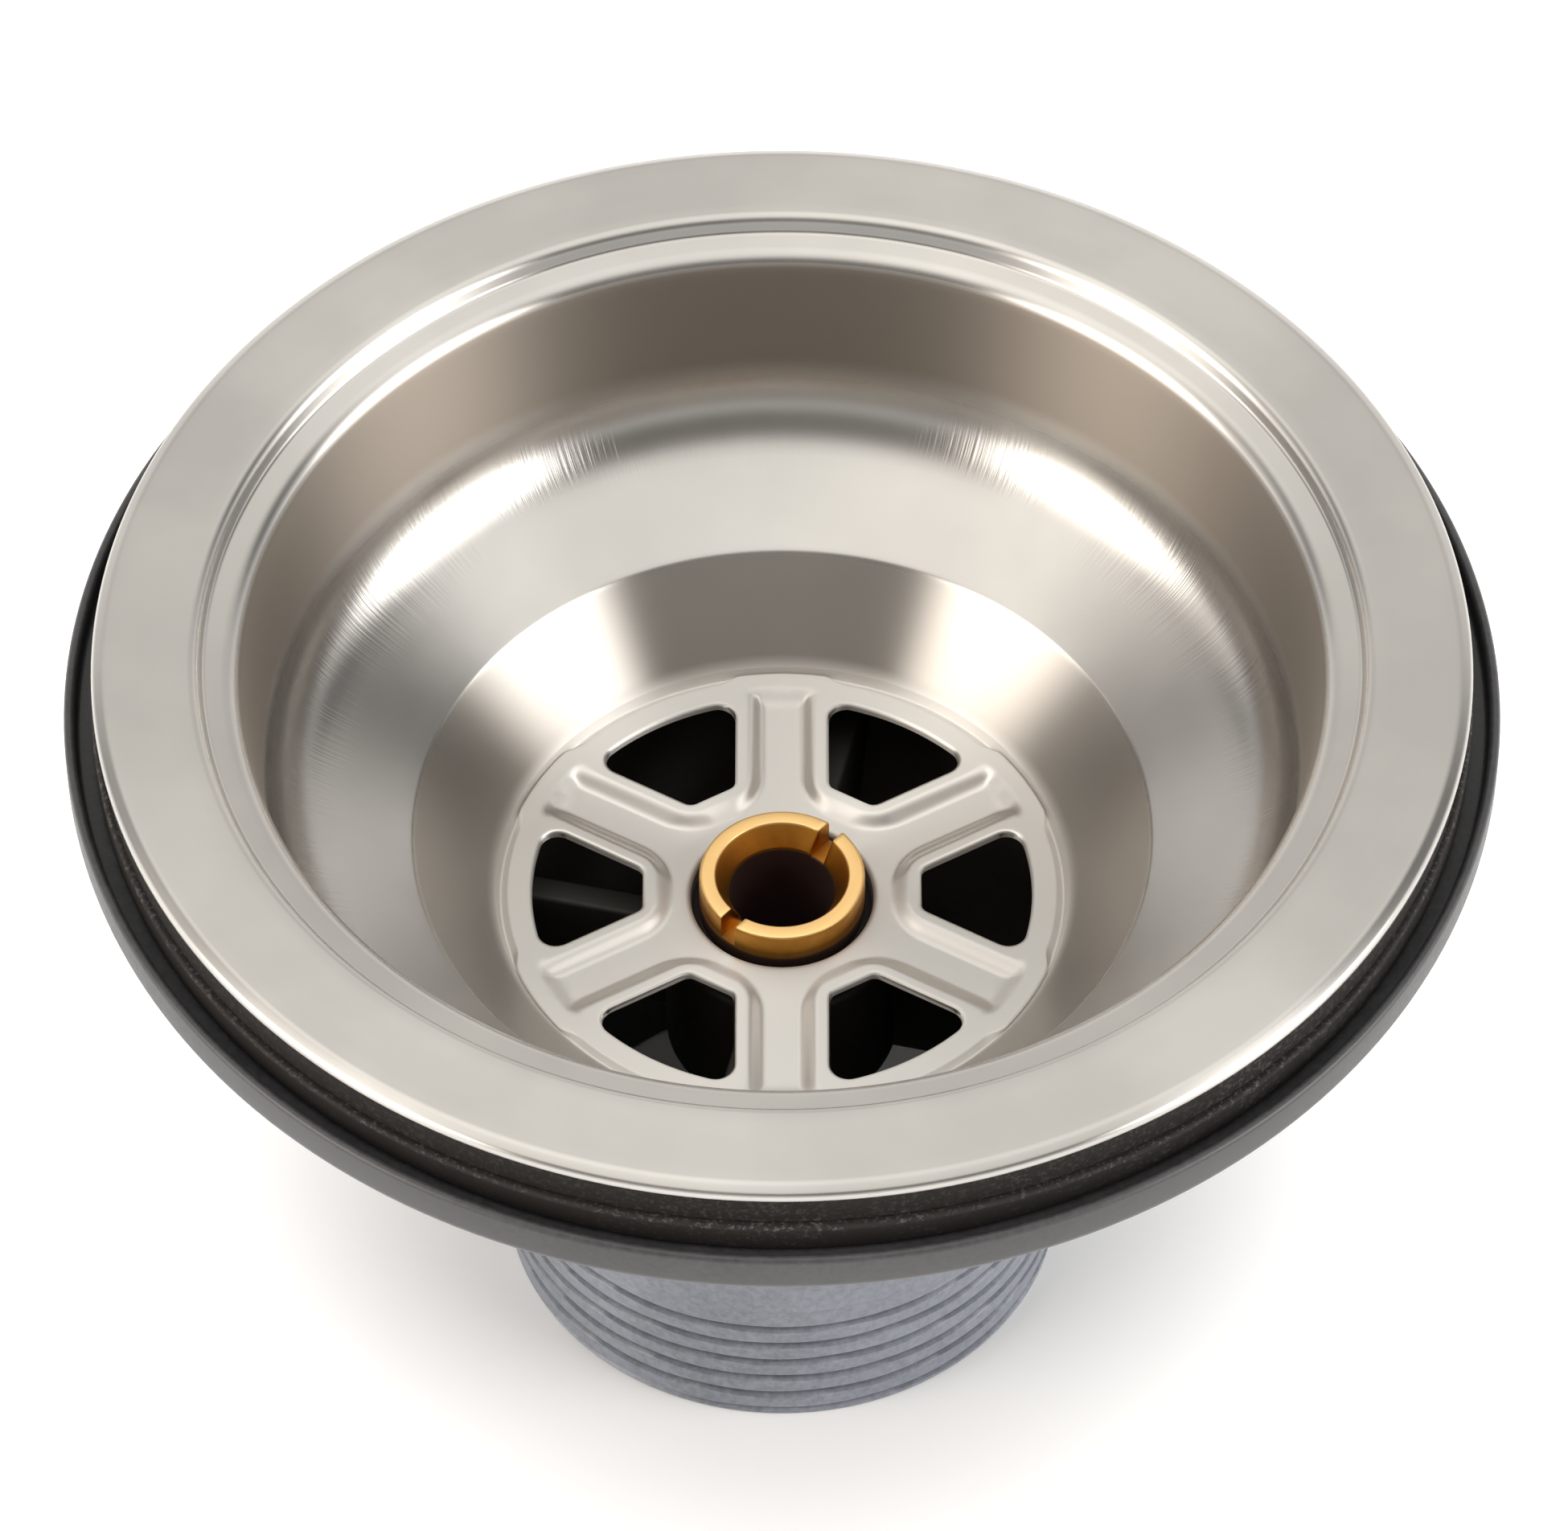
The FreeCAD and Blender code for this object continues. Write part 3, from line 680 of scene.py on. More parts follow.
def opening_curve(s):
    """Half outline of one grid opening, from the middle of its outer arc to the middle of its inner edge.

    The opening lies on the +X side between spokes at 30 degrees. The outline is the outer arc, a corner
    that touches that arc and the spoke's edge, the straight edge, a corner that touches it and the inner
    edge, and the inner edge. Returns points, the direction square to the outline, the distance along it, and
    that distance at the middle of each corner.
    """
    lean = SIXTH / 2
    outer_fillet, inner_fillet = 1.5 * MM, 0.9 * MM
    arc_steps = 40
    along = np.array([math.cos(lean), math.sin(lean)])
    inward = np.array([math.sin(lean), -math.cos(lean)])
    off = s.spoke_half + outer_fillet
    outer_centre = along * math.sqrt((s.opening_out - outer_fillet) ** 2 - off ** 2) + inward * off
    off = s.spoke_half + inner_fillet
    far = (s.opening_in + inner_fillet - inward[0] * off) / along[0]
    inner_centre = along * far + inward * off
    start = math.atan2(outer_centre[1], outer_centre[0])
    side = math.pi - 2 * lean
    steps = np.linspace(0, 1, arc_steps + 1)[:, None]
    swing = steps * start
    outer_arc = s.opening_out * np.hstack([np.cos(swing), np.sin(swing)])
    outer_turn = start + steps * (side - start)
    outer_corner = outer_centre + outer_fillet * np.hstack([np.cos(outer_turn), np.sin(outer_turn)])
    inner_turn = side + steps * (math.pi - side)
    inner_corner = inner_centre + inner_fillet * np.hstack([np.cos(inner_turn), np.sin(inner_turn)])
    middle = np.array([[s.opening_in, 0.0]])
    points = np.vstack([outer_arc[:-1], outer_corner, inner_corner, middle])
    turns = np.concatenate([swing[:-1, 0], outer_turn[:, 0], inner_turn[:, 0], [math.pi]])
    path = np.concatenate([[0], np.cumsum(np.linalg.norm(np.diff(points, axis=0), axis=1))])
    outer_middle = arc_steps + arc_steps // 2
    inner_middle = outer_middle + len(outer_corner)
    return points, turns, path, path[outer_middle], path[inner_middle]


def grid_height(s, x, y):
    """Height of the grid's upper side: the raised level, less the sunken star.

    Directions are folded onto one half opening. The star's border lies one lip's width beyond the
    opening's straight edges and crosses the spokes at the star's reach, with rounded corners. The height
    falls on a smooth step over the slope's width, measured inwards from that border.
    """
    radius = np.hypot(x, y)
    turn = np.abs((np.arctan2(y, x) + SIXTH / 2) % SIXTH - SIXTH / 2)
    lateral = radius * np.sin(SIXTH / 2 - turn)
    beyond_side = np.maximum(s.spoke_half - lateral, 0)
    beyond_inner = np.maximum(s.opening_in - radius * np.cos(turn), 0)
    beyond = np.hypot(beyond_side, beyond_inner)
    from_side = s.star_corner - (beyond - s.lip)
    from_tip = s.star_corner - (s.star_reach - radius * np.cos(SIXTH / 2 - turn))
    rounded_corner = np.hypot(np.maximum(from_side, 0), np.maximum(from_tip, 0))
    inside = s.star_corner - np.where(rounded_corner > 0, rounded_corner, np.maximum(from_side, from_tip))
    return s.grid_top - s.star_depth * smooth_step(inside / s.star_run)


def grid_sector(s, inner, outer):
    """Closed band round one opening: lower side, punched edge with a rolled lip, upper side.

    Rows run from the sector's border to the opening's edge and back. Columns go once round the opening,
    and on the border they follow the outer ring, a spoke's middle line, the hub's ring and the other spoke's
    middle line.
    """
    ring_steps, side_steps, across_steps, roll_steps = RING // (2 * OPENINGS), 30, 26, 6
    roll, burr = 0.32 * MM, 0.1 * MM
    points, turns, path, outer_mid, inner_mid = opening_curve(s)
    stations = np.concatenate([
        np.linspace(0, outer_mid, ring_steps, endpoint=False),
        np.linspace(outer_mid, inner_mid, side_steps, endpoint=False),
        np.linspace(inner_mid, path[-1], ring_steps + 1)])
    lean = SIXTH / 2
    ring = np.linspace(0, lean, ring_steps, endpoint=False)
    reach = np.linspace(outer, inner, side_steps, endpoint=False)
    back = np.linspace(lean, 0, ring_steps + 1)
    border = np.column_stack([
        np.concatenate([outer * np.cos(ring), reach * math.cos(lean), inner * np.cos(back)]),
        np.concatenate([outer * np.sin(ring), reach * math.sin(lean), inner * np.sin(back)])])
    edge = np.column_stack([np.interp(stations, path, points[:, i]) for i in (0, 1)])
    square = np.interp(stations, path, turns)
    square = np.column_stack([np.cos(square), np.sin(square)])
    flip = np.array([1, -1])
    edge, square, border = (np.vstack([half, (half * flip)[-2:0:-1]]) for half in (edge, square, border))

    across = np.linspace(0, 1, across_steps + 1)[:, None, None]
    upper = (edge + square * roll) * (1 - across) + border * across
    upper_height = grid_height(s, upper[..., 0], upper[..., 1])
    sparse = across[::2]
    lower = (edge + square * burr) * (1 - sparse) + border * sparse
    lower_height = grid_height(s, lower[..., 0], lower[..., 1]) - s.sheet
    bend = np.linspace(0, math.pi / 2, roll_steps, endpoint=False)[:, None, None]
    rolled = edge + square * roll * (1 - np.cos(bend))
    rolled_height = np.broadcast_to(s.grid_top - roll * (1 - np.sin(bend[..., 0])), rolled.shape[:2])
    foot = edge[None]
    foot_height = np.full(foot.shape[:2], s.grid_top - s.sheet + burr)
    plan = np.concatenate([lower[::-1], foot, rolled, upper])
    height = np.concatenate([lower_height[::-1], foot_height, rolled_height, upper_height])
    return np.concatenate([plan, height[..., None]], -1)


def pressing_lines(s, grid_edge):
    """Upper and lower section of the pressing, from the middle of the rim's edge to the grid's flat ring."""
    skirt_bend, roll_bend, rim_bend, ledge_bend, cone_bend = 0.2 * MM, 0.6 * MM, 1.2 * MM, 0.5 * MM, 0.9 * MM
    foot_bend, groove_bend, pad_bend = 0.25 * MM, 0.15 * MM, 0.35 * MM
    roll_drop, foot_run, under_run = 0.5 * MM, 0.3 * MM, 2.0 * MM
    skirt_low = s.rim_top - s.rim_skirt
    path = [
        (s.rim_radius, skirt_low, skirt_bend), (s.rim_radius, s.rim_top - roll_drop, roll_bend),
        (s.rim_radius - s.rim_roll, s.rim_top, rim_bend), (s.rim_flat, s.rim_top, s.step_roll),
        (s.ledge, s.ledge_top, ledge_bend), (s.mouth, s.mouth_top, s.mouth_roll),
        (s.shelf_out, s.shelf_top, s.shelf_fillet), (s.shelf_in, s.shelf_low, cone_bend)]
    cone_slope = (s.shelf_low - s.grid_top) / (s.shelf_in - s.grid_radius)
    moat = [
        (s.grid_radius + foot_run, s.grid_top + foot_run * cone_slope, foot_bend),
        (s.groove, s.grid_top - s.groove_depth, groove_bend),
        (s.pad_radius, s.grid_top, pad_bend), (grid_edge, s.grid_top, 0)]
    under = [(s.grid_radius, s.grid_top, s.sheet), (grid_edge, s.grid_top, 0)]
    edge_middle = (s.rim_radius - s.sheet / 2, skirt_low, 0)
    lower_corners = under_sheet(path + under, s.sheet)
    lower_corners[0, 2] = skirt_bend
    upper = rounded([edge_middle] + path + moat)
    lower = rounded(np.vstack([[edge_middle], lower_corners]), under_run, arc_steps=4)
    return upper, lower


def bulged_edge(s, line, grid_edge):
    """The upper section carried round, its raised edge at the grid reaching further out beyond each spoke.

    The radius grows by the bulge times smooth steps in direction and in radius.
    """
    blend, fall_from, fall, fall_share = 0.4 * MM, 0.1 * MM, 0.5 * MM, 0.8
    tip_half, tip_blend = math.radians(13.5), math.radians(5)
    grid = lathe(line)
    turn = ring_angles()
    radius = line[:, :1]
    near = smooth_step((radius - grid_edge) / blend) * (1 - smooth_step((radius - s.groove) / blend))
    near *= 1 - fall_share * smooth_step((radius - s.pad_radius - fall_from) / fall)
    from_spoke = np.abs(turn % SIXTH - SIXTH / 2)
    bulge = s.tip_bulge * near * smooth_step((tip_half - from_spoke) / tip_blend)
    grid[..., 0] += bulge * np.cos(turn)
    grid[..., 1] += bulge * np.sin(turn)
    return grid


def hub_line(s, hub_edge):
    """Section of the hub's cup, from the star's floor down to the hole and back up underneath."""
    floor_bend, cup_bend, hole_bend, wall_bend, hub_run = 0.5 * MM, 0.35 * MM, 0.15 * MM, 0.3 * MM, 0.5 * MM
    floor = s.grid_top - s.star_depth
    wall_out = s.cup_radius + s.sheet
    return rounded([
        (hub_edge, floor, 0), (s.cup_radius, floor, floor_bend), (s.cup_radius, s.cup_floor, cup_bend),
        (s.hole, s.cup_floor, hole_bend), (s.hole, s.cup_floor - s.sheet, LEAST_BEND),
        (wall_out, s.cup_floor - s.sheet, s.sheet), (wall_out, floor - s.sheet, wall_bend),
        (hub_edge, floor - s.sheet, 0)], hub_run, arc_steps=4)


def bowl_shells(s):
    """Upper and lower side of the pressing, the cup in its hub and its six grid sectors."""
    hub_edge, pad_run = 8.7 * MM, 0.5 * MM
    grid_edge = s.pad_radius - pad_run
    upper, lower = pressing_lines(s, grid_edge)
    grids = [bulged_edge(s, upper, grid_edge), lathe(lower), lathe(hub_line(s, hub_edge))]
    grids += turned_copies(grid_sector(s, hub_edge, grid_edge), OPENINGS)
    return [shell(grid) for grid in grids]


class SINK_OT_strainer_bowl(bpy.types.Operator):
    """Build the pressed steel bowl with its grid"""

    bl_idname = "sink.strainer_bowl"
    bl_label = "Strainer bowl"

    def execute(self, context):
        s = context.scene.sink_strainer.bowl
        make_piece("bowl_pressing", bowl_shells(s), "bowl", "strainer_bowl", steel_material(s))
        return {"FINISHED"}


class SINK_OT_gaskets(bpy.types.Operator):
    """Build the rubber rings above and below the sink"""

    bl_idname = "sink.gaskets"
    bl_label = "Gaskets"

    def execute(self, context):
        s = context.scene.sink_strainer.gaskets
        rubber = rubber_material(s)
        soft, crease = 0.4 * MM, 0.05 * MM
        middle = (s.upper_in + s.upper_out) / 2
        upper = rounded([
            (middle, s.upper_low, 0), (s.upper_out, s.upper_low, soft), (s.upper_out, s.shoulder, soft / 2),
            (s.seat_out, s.shoulder, crease), (s.seat_out, s.upper_top, soft),
            (s.upper_in, s.upper_top, soft), (s.upper_in, s.upper_low, soft), (middle, s.upper_low, 0)])
        lower = rounded([
            (middle, s.lower_low, 0), (s.lower_out, s.lower_low, 2 * soft), (s.lower_out, s.lower_top, soft),
            (s.lower_in, s.lower_top, soft), (s.lower_in, s.lower_low, soft), (middle, s.lower_low, 0)])
        for name, line, body in (("upper_gasket", upper, "bowl"), ("lower_gasket", lower, "body")):
            ring = shell(lathe(line[:-1]), close_rows=True)
            make_piece(name + "_ring", [ring], body, name, rubber)
        return {"FINISHED"}


def funnel_slope(s):
    """Rise of the funnel's wall for one unit outwards, and the wall's thickness measured level."""
    rise = (s.cup_low - s.neck_top) / (s.cup - s.neck)
    return rise, s.wall * math.hypot(1, rise) / rise


def funnel_bore(s, height):
    """Inside radius of the funnel at a height: the outer cone moved in by the wall's level thickness."""
    rise, side_wall = funnel_slope(s)
    return s.neck + (height - s.neck_top) / rise - side_wall


def body_outline(s):
    """Closed section of the turned body, from the outlet's end up the outside and down the inside."""
    end_bend, bead_bend, bore_bend, thread_run = 0.3 * MM, 0.25 * MM, 0.4 * MM, 0.16 * MM
    neck_bend, cup_bend, foot_bend, flange_bend = 4 * MM, 6 * MM, 1.5 * MM, 1.3 * MM
    lip_bend, seat_bend, long_run = 0.44 * MM, 0.35 * MM, 2 * MM
    rise, side_wall = funnel_slope(s)
    cup_bore = s.cup - s.wall
    bore_top = s.neck_top + (s.outlet_bore + side_wall - s.neck) * rise
    end = (s.outlet + s.outlet_bore) / 2
    joint = (s.neck, s.outlet_top + OVERLAP, 0)
    outlet = rounded([
        (end, 0, 0), (s.outlet, 0, end_bend), (s.outlet, s.outlet_top, bead_bend),
        (s.neck, s.outlet_top, bead_bend), joint], thread_run, arc_steps=4)
    rest = rounded([
        joint, (s.neck, s.neck_top, neck_bend), (s.cup, s.cup_low, cup_bend),
        (s.cup, s.flange_low, foot_bend), (s.flange, s.flange_low, flange_bend),
        (s.flange, s.lip_top, lip_bend), (s.lip_in, s.lip_top, lip_bend),
        (s.lip_in, s.flange_floor, seat_bend), (cup_bore, s.flange_floor, seat_bend),
        (cup_bore, s.cup_low + (side_wall - s.wall) * rise, cup_bend), (s.outlet_bore, bore_top, neck_bend),
        (s.outlet_bore, 0, bore_bend), (end, 0, 0)], long_run)
    return np.vstack([outlet[:-1], rest[:-1]])


def threaded_outlet(s, line):
    """The turned body with a helical thread pressed into its outlet.

    The radius drops by the thread's depth times its share of one turn, whose phase is height over pitch
    less the direction's part of a full turn. The thread fades in over the outlet's end and out at its top.
    """
    skin, bead_gap, fade_out, plain_end, fade_in = 0.5 * MM, 0.3 * MM, 0.9 * MM, 0.3 * MM, 0.6 * MM
    grid = lathe(line)
    turn = ring_angles()
    radius, height = line[:, :1], line[:, 1:]
    outside = (radius > s.outlet - skin) & (height < s.outlet_top - bead_gap)
    fade = smooth_step((s.thread_top - height) / fade_out) * smooth_step((height - plain_end) / fade_in)
    phase = height / s.thread_pitch - turn / (2 * math.pi)
    drop = np.where(outside, s.thread_depth * thread_share(phase) * fade, 0)
    scale = 1 - drop / radius
    grid[..., :2] *= scale[..., None]
    return grid


def spider_arm(s):
    """One arm along +X: a rounded upright section drawn from inside the boss to inside the funnel's wall."""
    half, soft, long_run = s.arm_width / 2, 0.4 * MM, 2 * MM
    section = rounded([
        (0, s.arm_low, 0), (half, s.arm_low, soft), (half, s.arm_top, soft), (-half, s.arm_top, soft),
        (-half, s.arm_low, soft), (0, s.arm_low, 0)], long_run, arc_steps=4)[:-1]
    start = np.full(len(section), s.boss - OVERLAP)
    stop = funnel_bore(s, section[:, 1]) + OVERLAP
    middle = (s.arm_low + s.arm_top) / 2
    rows = []
    for reach, size in ((start, 0), (start, 1), (stop, 1), (stop, 0)):
        far = reach if size else np.full(len(section), reach.mean())
        rows.append(np.column_stack([far, section[:, 0] * size, middle + (section[:, 1] - middle) * size]))
    return np.stack(rows)


def flange_rib(s):
    """One rib under the flange along +X: a four-cornered plate with softened edges."""
    soft, foot, short, long_run, slimmer = 0.3 * MM, 0.8 * MM, 3.5 * MM, 2 * MM, 0.96
    root, tip = s.cup - s.wall / 2, s.flange - short
    top = s.flange_low + OVERLAP
    low = s.flange_low - s.rib_height
    middle = (root + s.cup) / 2
    section = rounded([
        (middle, top, 0), (root, top, soft), (root, low, soft), (s.cup + foot, low, soft),
        (tip, s.flange_low, soft), (tip, top, soft), (middle, top, 0)], long_run, arc_steps=4)[:-1]
    centre = np.array([s.cup + OVERLAP, s.flange_low - OVERLAP])
    half = s.rib_width / 2
    rows = []
    for side, size in (
            (-half, 0), (-half, slimmer), (soft - half, 1), (half - soft, 1), (half, slimmer), (half, 0)):
        plate = centre + (section - centre) * size
        rows.append(np.column_stack([plate[:, 0], np.full(len(plate), side), plate[:, 1]]))
    return np.stack(rows)


def boss_line(s, hole):
    """Closed section of the boss with its pocket for the insert and the hole below it."""
    low_bend, top_bend, pocket_bend, hole_bend = 0.8 * MM, 0.6 * MM, 0.2 * MM, 0.3 * MM
    start = (s.boss - OVERLAP, s.boss_low, 0)
    return rounded([
        start, (s.boss, s.boss_low, low_bend), (s.boss, s.boss_top, top_bend),
        (s.insert, s.boss_top, pocket_bend), (s.insert, s.insert_low, pocket_bend),
        (hole, s.insert_low, pocket_bend), (hole, s.boss_low, hole_bend), start])[:-1]


class SINK_OT_waste_body(bpy.types.Operator):
    """Build the plastic body with its flange, funnel, spider and threaded outlet"""

    bl_idname = "sink.waste_body"
    bl_label = "Waste body"

    def execute(self, context):
        s = context.scene.sink_strainer.body
        hole = context.scene.sink_strainer.bowl.hole
        turned_parts = (threaded_outlet(s, body_outline(s)), lathe(boss_line(s, hole)))
        shells = [shell(part, close_rows=True) for part in turned_parts]
        shells += [shell(arm) for arm in turned_copies(spider_arm(s), ARMS, s.arm_turn)]
        shells += [shell(rib) for rib in turned_copies(flange_rib(s), RIBS)]
        make_piece("body_moulding", shells, "body", "waste_body", plastic_material(s))
        return {"FINISHED"}


def bush_line(s):
    """Closed section of the bush: out under its head, over the top, down the bore and back up the shank."""
    edge, head_bend, chamfer, head_run, thread_run = 0.15 * MM, 0.3 * MM, 0.6 * MM, 0.8 * MM, 0.13 * MM
    top = rounded([
        (s.shank, s.head_low - OVERLAP, 0), (s.shank, s.head_low, LEAST_BEND), (s.head, s.head_low, edge),
        (s.head, s.head_top, head_bend), (s.mouth, s.head_top, edge), (s.bore, s.mouth_low, head_bend),
        (s.bore, s.shank_low, LEAST_BEND), (s.shank - chamfer, s.shank_low, LEAST_BEND),
        (s.shank, s.shank_low + chamfer, LEAST_BEND), (s.shank, s.shank_low + 2 * chamfer, 0)],
        head_run, arc_steps=5)
    shank = divided(np.array([top[-1], top[0]]), thread_run)
    return np.vstack([top[:-1], shank[:-1]])


def bush_grid(s):
    """Turned bush with a screwdriver slot across its head and a fine thread on its shank.

    Rows follow the closed section. Columns cross one half turn from the middle of the slot's floor, up its
    wall and over a softened edge, evenly along the head to the other end of the slot, then the same again.
    In the slot's columns the height is held at or under the slot's floor, and the slot's walls stay straight
    because a column's direction there is arcsin(distance from the slot's middle / radius).
    """
    soft, slot_fade, fade_out = 0.18 * MM, 0.8 * MM, 1.0 * MM
    head_columns = 60
    line = bush_line(s)
    radius, height = line[:, :1], line[:, 1:]
    slot_side = np.array([-1, -0.4, 0.4, 1]) * s.slot_half
    bend = np.linspace(0, math.pi / 2, 3)
    edge_side = s.slot_half + soft * (1 - np.cos(bend))
    edge_drop = soft * (1 - np.sin(bend))
    spread = np.linspace(0, 1, head_columns + 2)[None, 1:-1]
    first = np.arcsin((s.slot_half + soft) / radius)
    turn = np.hstack([
        np.arcsin(slot_side / radius), np.arcsin(edge_side / radius),
        first + (math.pi - 2 * first) * spread, math.pi - np.arcsin(edge_side[::-1] / radius)])
    in_slot = np.arange(turn.shape[1]) < len(slot_side)
    drop = np.concatenate([np.zeros(len(slot_side)), edge_drop, np.zeros(head_columns), edge_drop[::-1]])
    level = height - drop * smooth_step((height - s.slot_low) / slot_fade)
    level = np.where(in_slot, np.minimum(height, s.slot_low), level)
    turn = np.hstack([turn, turn + math.pi]) + s.slot_turn
    level = np.hstack([level, level])

    neck_low = s.head_low - OVERLAP
    on_shank = (radius > s.shank - TINY) & (height < neck_low)
    fade = smooth_step((neck_low - fade_out - height) / fade_out)
    phase = height / s.thread_pitch - turn / (2 * math.pi)
    radius = radius - np.where(on_shank, s.thread_depth * thread_share(phase) * fade, 0)
    return np.stack([radius * np.cos(turn), radius * np.sin(turn), level], -1)


class SINK_OT_fixing_bush(bpy.types.Operator):
    """Build the slotted brass bush and give the hidden insert its finish"""

    bl_idname = "sink.fixing_bush"
    bl_label = "Fixing bush"

    def execute(self, context):
        s = context.scene.sink_strainer.bush
        brass = brass_material(s)
        screw = shell(bush_grid(s), close_rows=True)
        make_piece("bush_screw", [screw], "bush", "fixing_bush", brass)
        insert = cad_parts["threaded_insert"].data
        insert.materials.clear()
        insert.materials.append(brass)
        return {"FINISHED"}


def add_lamp(sh, room, way, tint, strength, side, rise, inner, outer):
    """The room's light with a soft round lamp: full within the inner angle, fading to none at the outer.

    Side is the lamp's direction from the back wall, positive to the right, and rise its height, in degrees.
    """
    side, rise, inner, outer = np.radians([side, rise, inner, outer])
    middle = (math.cos(rise) * math.sin(side), math.cos(rise) * math.cos(side), math.sin(rise))
    near = sh.add("ShaderNodeVectorMath", {"operation": "DOT_PRODUCT"})
    sh.feed(near.inputs[0], way)
    sh.feed(near.inputs[1], middle)
    share = sh.remap(near.outputs["Value"], math.cos(outer), math.cos(inner), smooth=True)
    lamp = sh.add("ShaderNodeBackground", Color=rgba(tint), Strength=sh.times(share, strength))
    return sh.join(room, lamp.outputs[0])


def studio_room(s):
    """World light: dark in front, paler walls towards the back, a pale ceiling, a white sheet low round
    the part and soft lamps. The camera sees it white."""
    front_to_side, side_to_wall, sweep_to_backdrop = (-0.7, 0.3), (0.52, 0.78), (0.5, 0.75)
    walls_to_ceiling, walls_to_sheet = (0.7, 0.95), (0.44, 0.28)
    ceiling_lean, least = 0.03, 0.001
    world = bpy.data.worlds.new("studio_room")
    world.use_nodes = True
    tree = world.node_tree
    tree.nodes.clear()
    sh = Shader(tree)
    way = tree.nodes.new("ShaderNodeTexCoord").outputs["Generated"]
    x, y, z = sh.add("ShaderNodeSeparateXYZ", Vector=way).outputs
    back = sh.math("DIVIDE", y, sh.math("MAXIMUM", sh.spread(x, y), least))
    walls = sh.mix(sh.remap(back, *front_to_side, smooth=True), rgba(s.front), rgba(s.side))
    walls = sh.mix(sh.remap(back, *side_to_wall, smooth=True), walls, rgba(s.wall))
    above = sh.remap(sh.plus(z, sh.times(back, ceiling_lean)), *walls_to_ceiling, smooth=True)
    sheet = sh.mix(sh.remap(back, *sweep_to_backdrop, smooth=True), rgba(s.sweep), rgba(s.backdrop))
    light = sh.mix(above, walls, rgba(s.ceiling))
    light = sh.mix(sh.remap(z, *walls_to_sheet, smooth=True), light, sheet)
    seen = tree.nodes.new("ShaderNodeLightPath").outputs["Is Camera Ray"]
    unseen = sh.less(1.0, seen)
    room = sh.add("ShaderNodeBackground", Color=sh.mix(seen, light, WHITE)).outputs[0]
    left, right, window = (sh.times(unseen, value) for value in (s.left_box, s.right_box, s.window_light))
    left_halo, right_halo = (sh.times(unseen, value) for value in (s.left_halo, s.right_halo))
    room = add_lamp(sh, room, way, s.left_tint, left, side=-114, rise=25, inner=5, outer=27)
    room = add_lamp(sh, room, way, s.right_tint, right, side=108, rise=25, inner=5, outer=27)
    room = add_lamp(sh, room, way, s.left_tint, left_halo, side=-104, rise=20, inner=6, outer=42)
    room = add_lamp(sh, room, way, s.right_tint, right_halo, side=100, rise=18, inner=6, outer=34)
    room = add_lamp(sh, room, way, s.left_tint, window, side=-80, rise=58, inner=10, outer=45)
    out = tree.nodes.new("ShaderNodeOutputWorld")
    sh.feed(out.inputs[0], room)
    return world


def floor_material(s):
    """Pale matte floor that the camera and reflections see as white away from the part's shadow."""
    material, sh, shader, place = new_material("pale_floor")
    shadow_near, shadow_far = 24 * MM, 60 * MM
    tree = material.node_tree
    tree.nodes.remove(shader)
    rays = tree.nodes.new("ShaderNodeLightPath").outputs
    mirrored = sh.math("MAXIMUM", rays["Is Glossy Ray"], rays["Is Transmission Ray"])
    seen = sh.math("MAXIMUM", rays["Is Camera Ray"], mirrored)
    x, y, z = sh.add("ShaderNodeSeparateXYZ", Vector=place).outputs
    open_floor = sh.remap(sh.spread(x, y), shadow_near, shadow_far, smooth=True)
    matte = sh.add("ShaderNodeBsdfDiffuse", Color=rgba(s.floor))
    glow = sh.add("ShaderNodeEmission", Strength=sh.times(sh.times(seen, open_floor), s.floor_glow))
    out = tree.nodes["Material Output"]
    sh.feed(out.inputs[0], sh.join(matte.outputs[0], glow.outputs[0]))
    return material


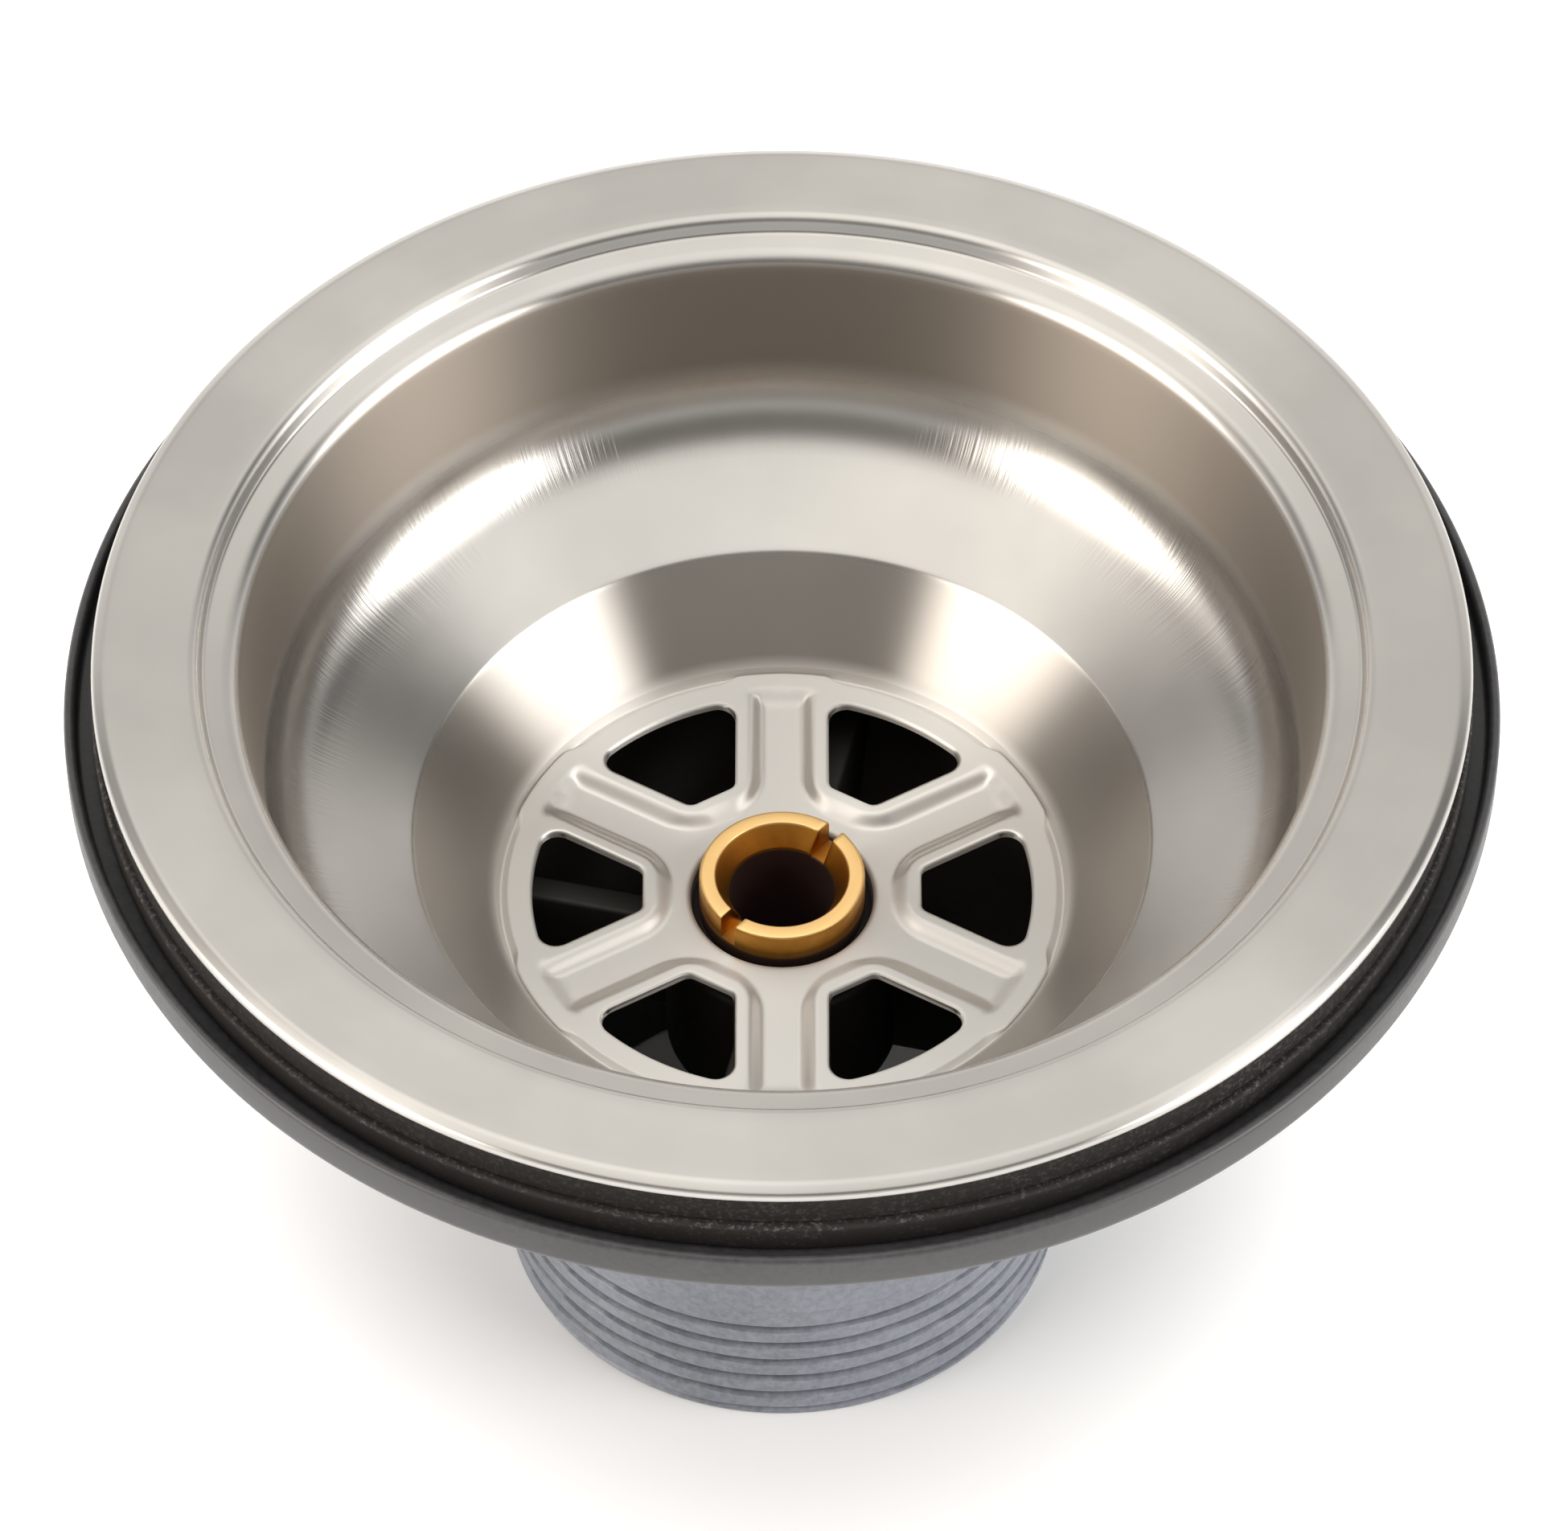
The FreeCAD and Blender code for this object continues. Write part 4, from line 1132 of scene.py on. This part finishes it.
class SINK_OT_stage(bpy.types.Operator):
    """Set up the floor, the studio light and the camera"""

    bl_idname = "sink.stage"
    bl_label = "Stage"

    def execute(self, context):
        s = context.scene.sink_strainer.stage
        floor_half = 3.0
        corners = np.array([[-1, -1, 0], [1, -1, 0], [1, 1, 0], [-1, 1, 0]]) * floor_half
        mesh = bpy.data.meshes.new("floor")
        mesh.from_pydata(corners.tolist(), [], [(0, 1, 2, 3)])
        mesh.materials.append(floor_material(s))
        floor = bpy.data.objects.new("floor", mesh)
        context.scene.collection.objects.link(floor)

        context.scene.world = studio_room(s)

        data = bpy.data.cameras.new("photo_camera")
        data.sensor_fit = "HORIZONTAL"
        data.sensor_width = 36.0
        data.lens = s.lens
        data.clip_start = 0.01
        camera = bpy.data.objects.new("photo_camera", data)
        camera.location = (s.camera_side, -s.camera_back, s.camera_up)
        camera.rotation_euler = (math.pi / 2 - s.camera_tilt, 0, 0)
        context.scene.collection.objects.link(camera)
        context.scene.camera = camera
        context.scene.view_settings.view_transform = "Standard"
        return {"FINISHED"}


class SINK_PT_strainer(bpy.types.Panel):
    """Buttons that build the strainer piece by piece"""

    bl_idname = "SINK_PT_strainer"
    bl_label = "Sink strainer"
    bl_space_type = "VIEW_3D"
    bl_region_type = "UI"
    bl_category = "Sink strainer"

    def draw(self, context):
        for operator in OPERATORS:
            self.layout.operator(operator.bl_idname)
        settings = context.scene.sink_strainer
        for group in (settings.bowl, settings.gaskets, settings.body, settings.bush, settings.stage):
            box = self.layout.box()
            for name in group.__annotations__:
                box.prop(group, name)


OPERATORS = (SINK_OT_strainer_bowl, SINK_OT_gaskets, SINK_OT_waste_body, SINK_OT_fixing_bush, SINK_OT_stage)
SETTINGS = (BowlSettings, GasketSettings, BodySettings, BushSettings, StageSettings, StrainerSettings)


def register():
    """Register the settings, operators and panel."""
    for part in SETTINGS + OPERATORS + (SINK_PT_strainer,):
        bpy.utils.register_class(part)
    bpy.types.Scene.sink_strainer = bpy.props.PointerProperty(
        type=StrainerSettings, name="Sink strainer", description="Sizes and colours of the sink strainer")


def unregister():
    """Take everything back in the other order."""
    del bpy.types.Scene.sink_strainer
    for part in reversed(SETTINGS + OPERATORS + (SINK_PT_strainer,)):
        bpy.utils.unregister_class(part)


def main():
    """Build every piece and the stage."""
    register()
    bpy.ops.sink.strainer_bowl()
    bpy.ops.sink.gaskets()
    bpy.ops.sink.waste_body()
    bpy.ops.sink.fixing_bush()
    bpy.ops.sink.stage()


if __name__ == "__main__":
    main()
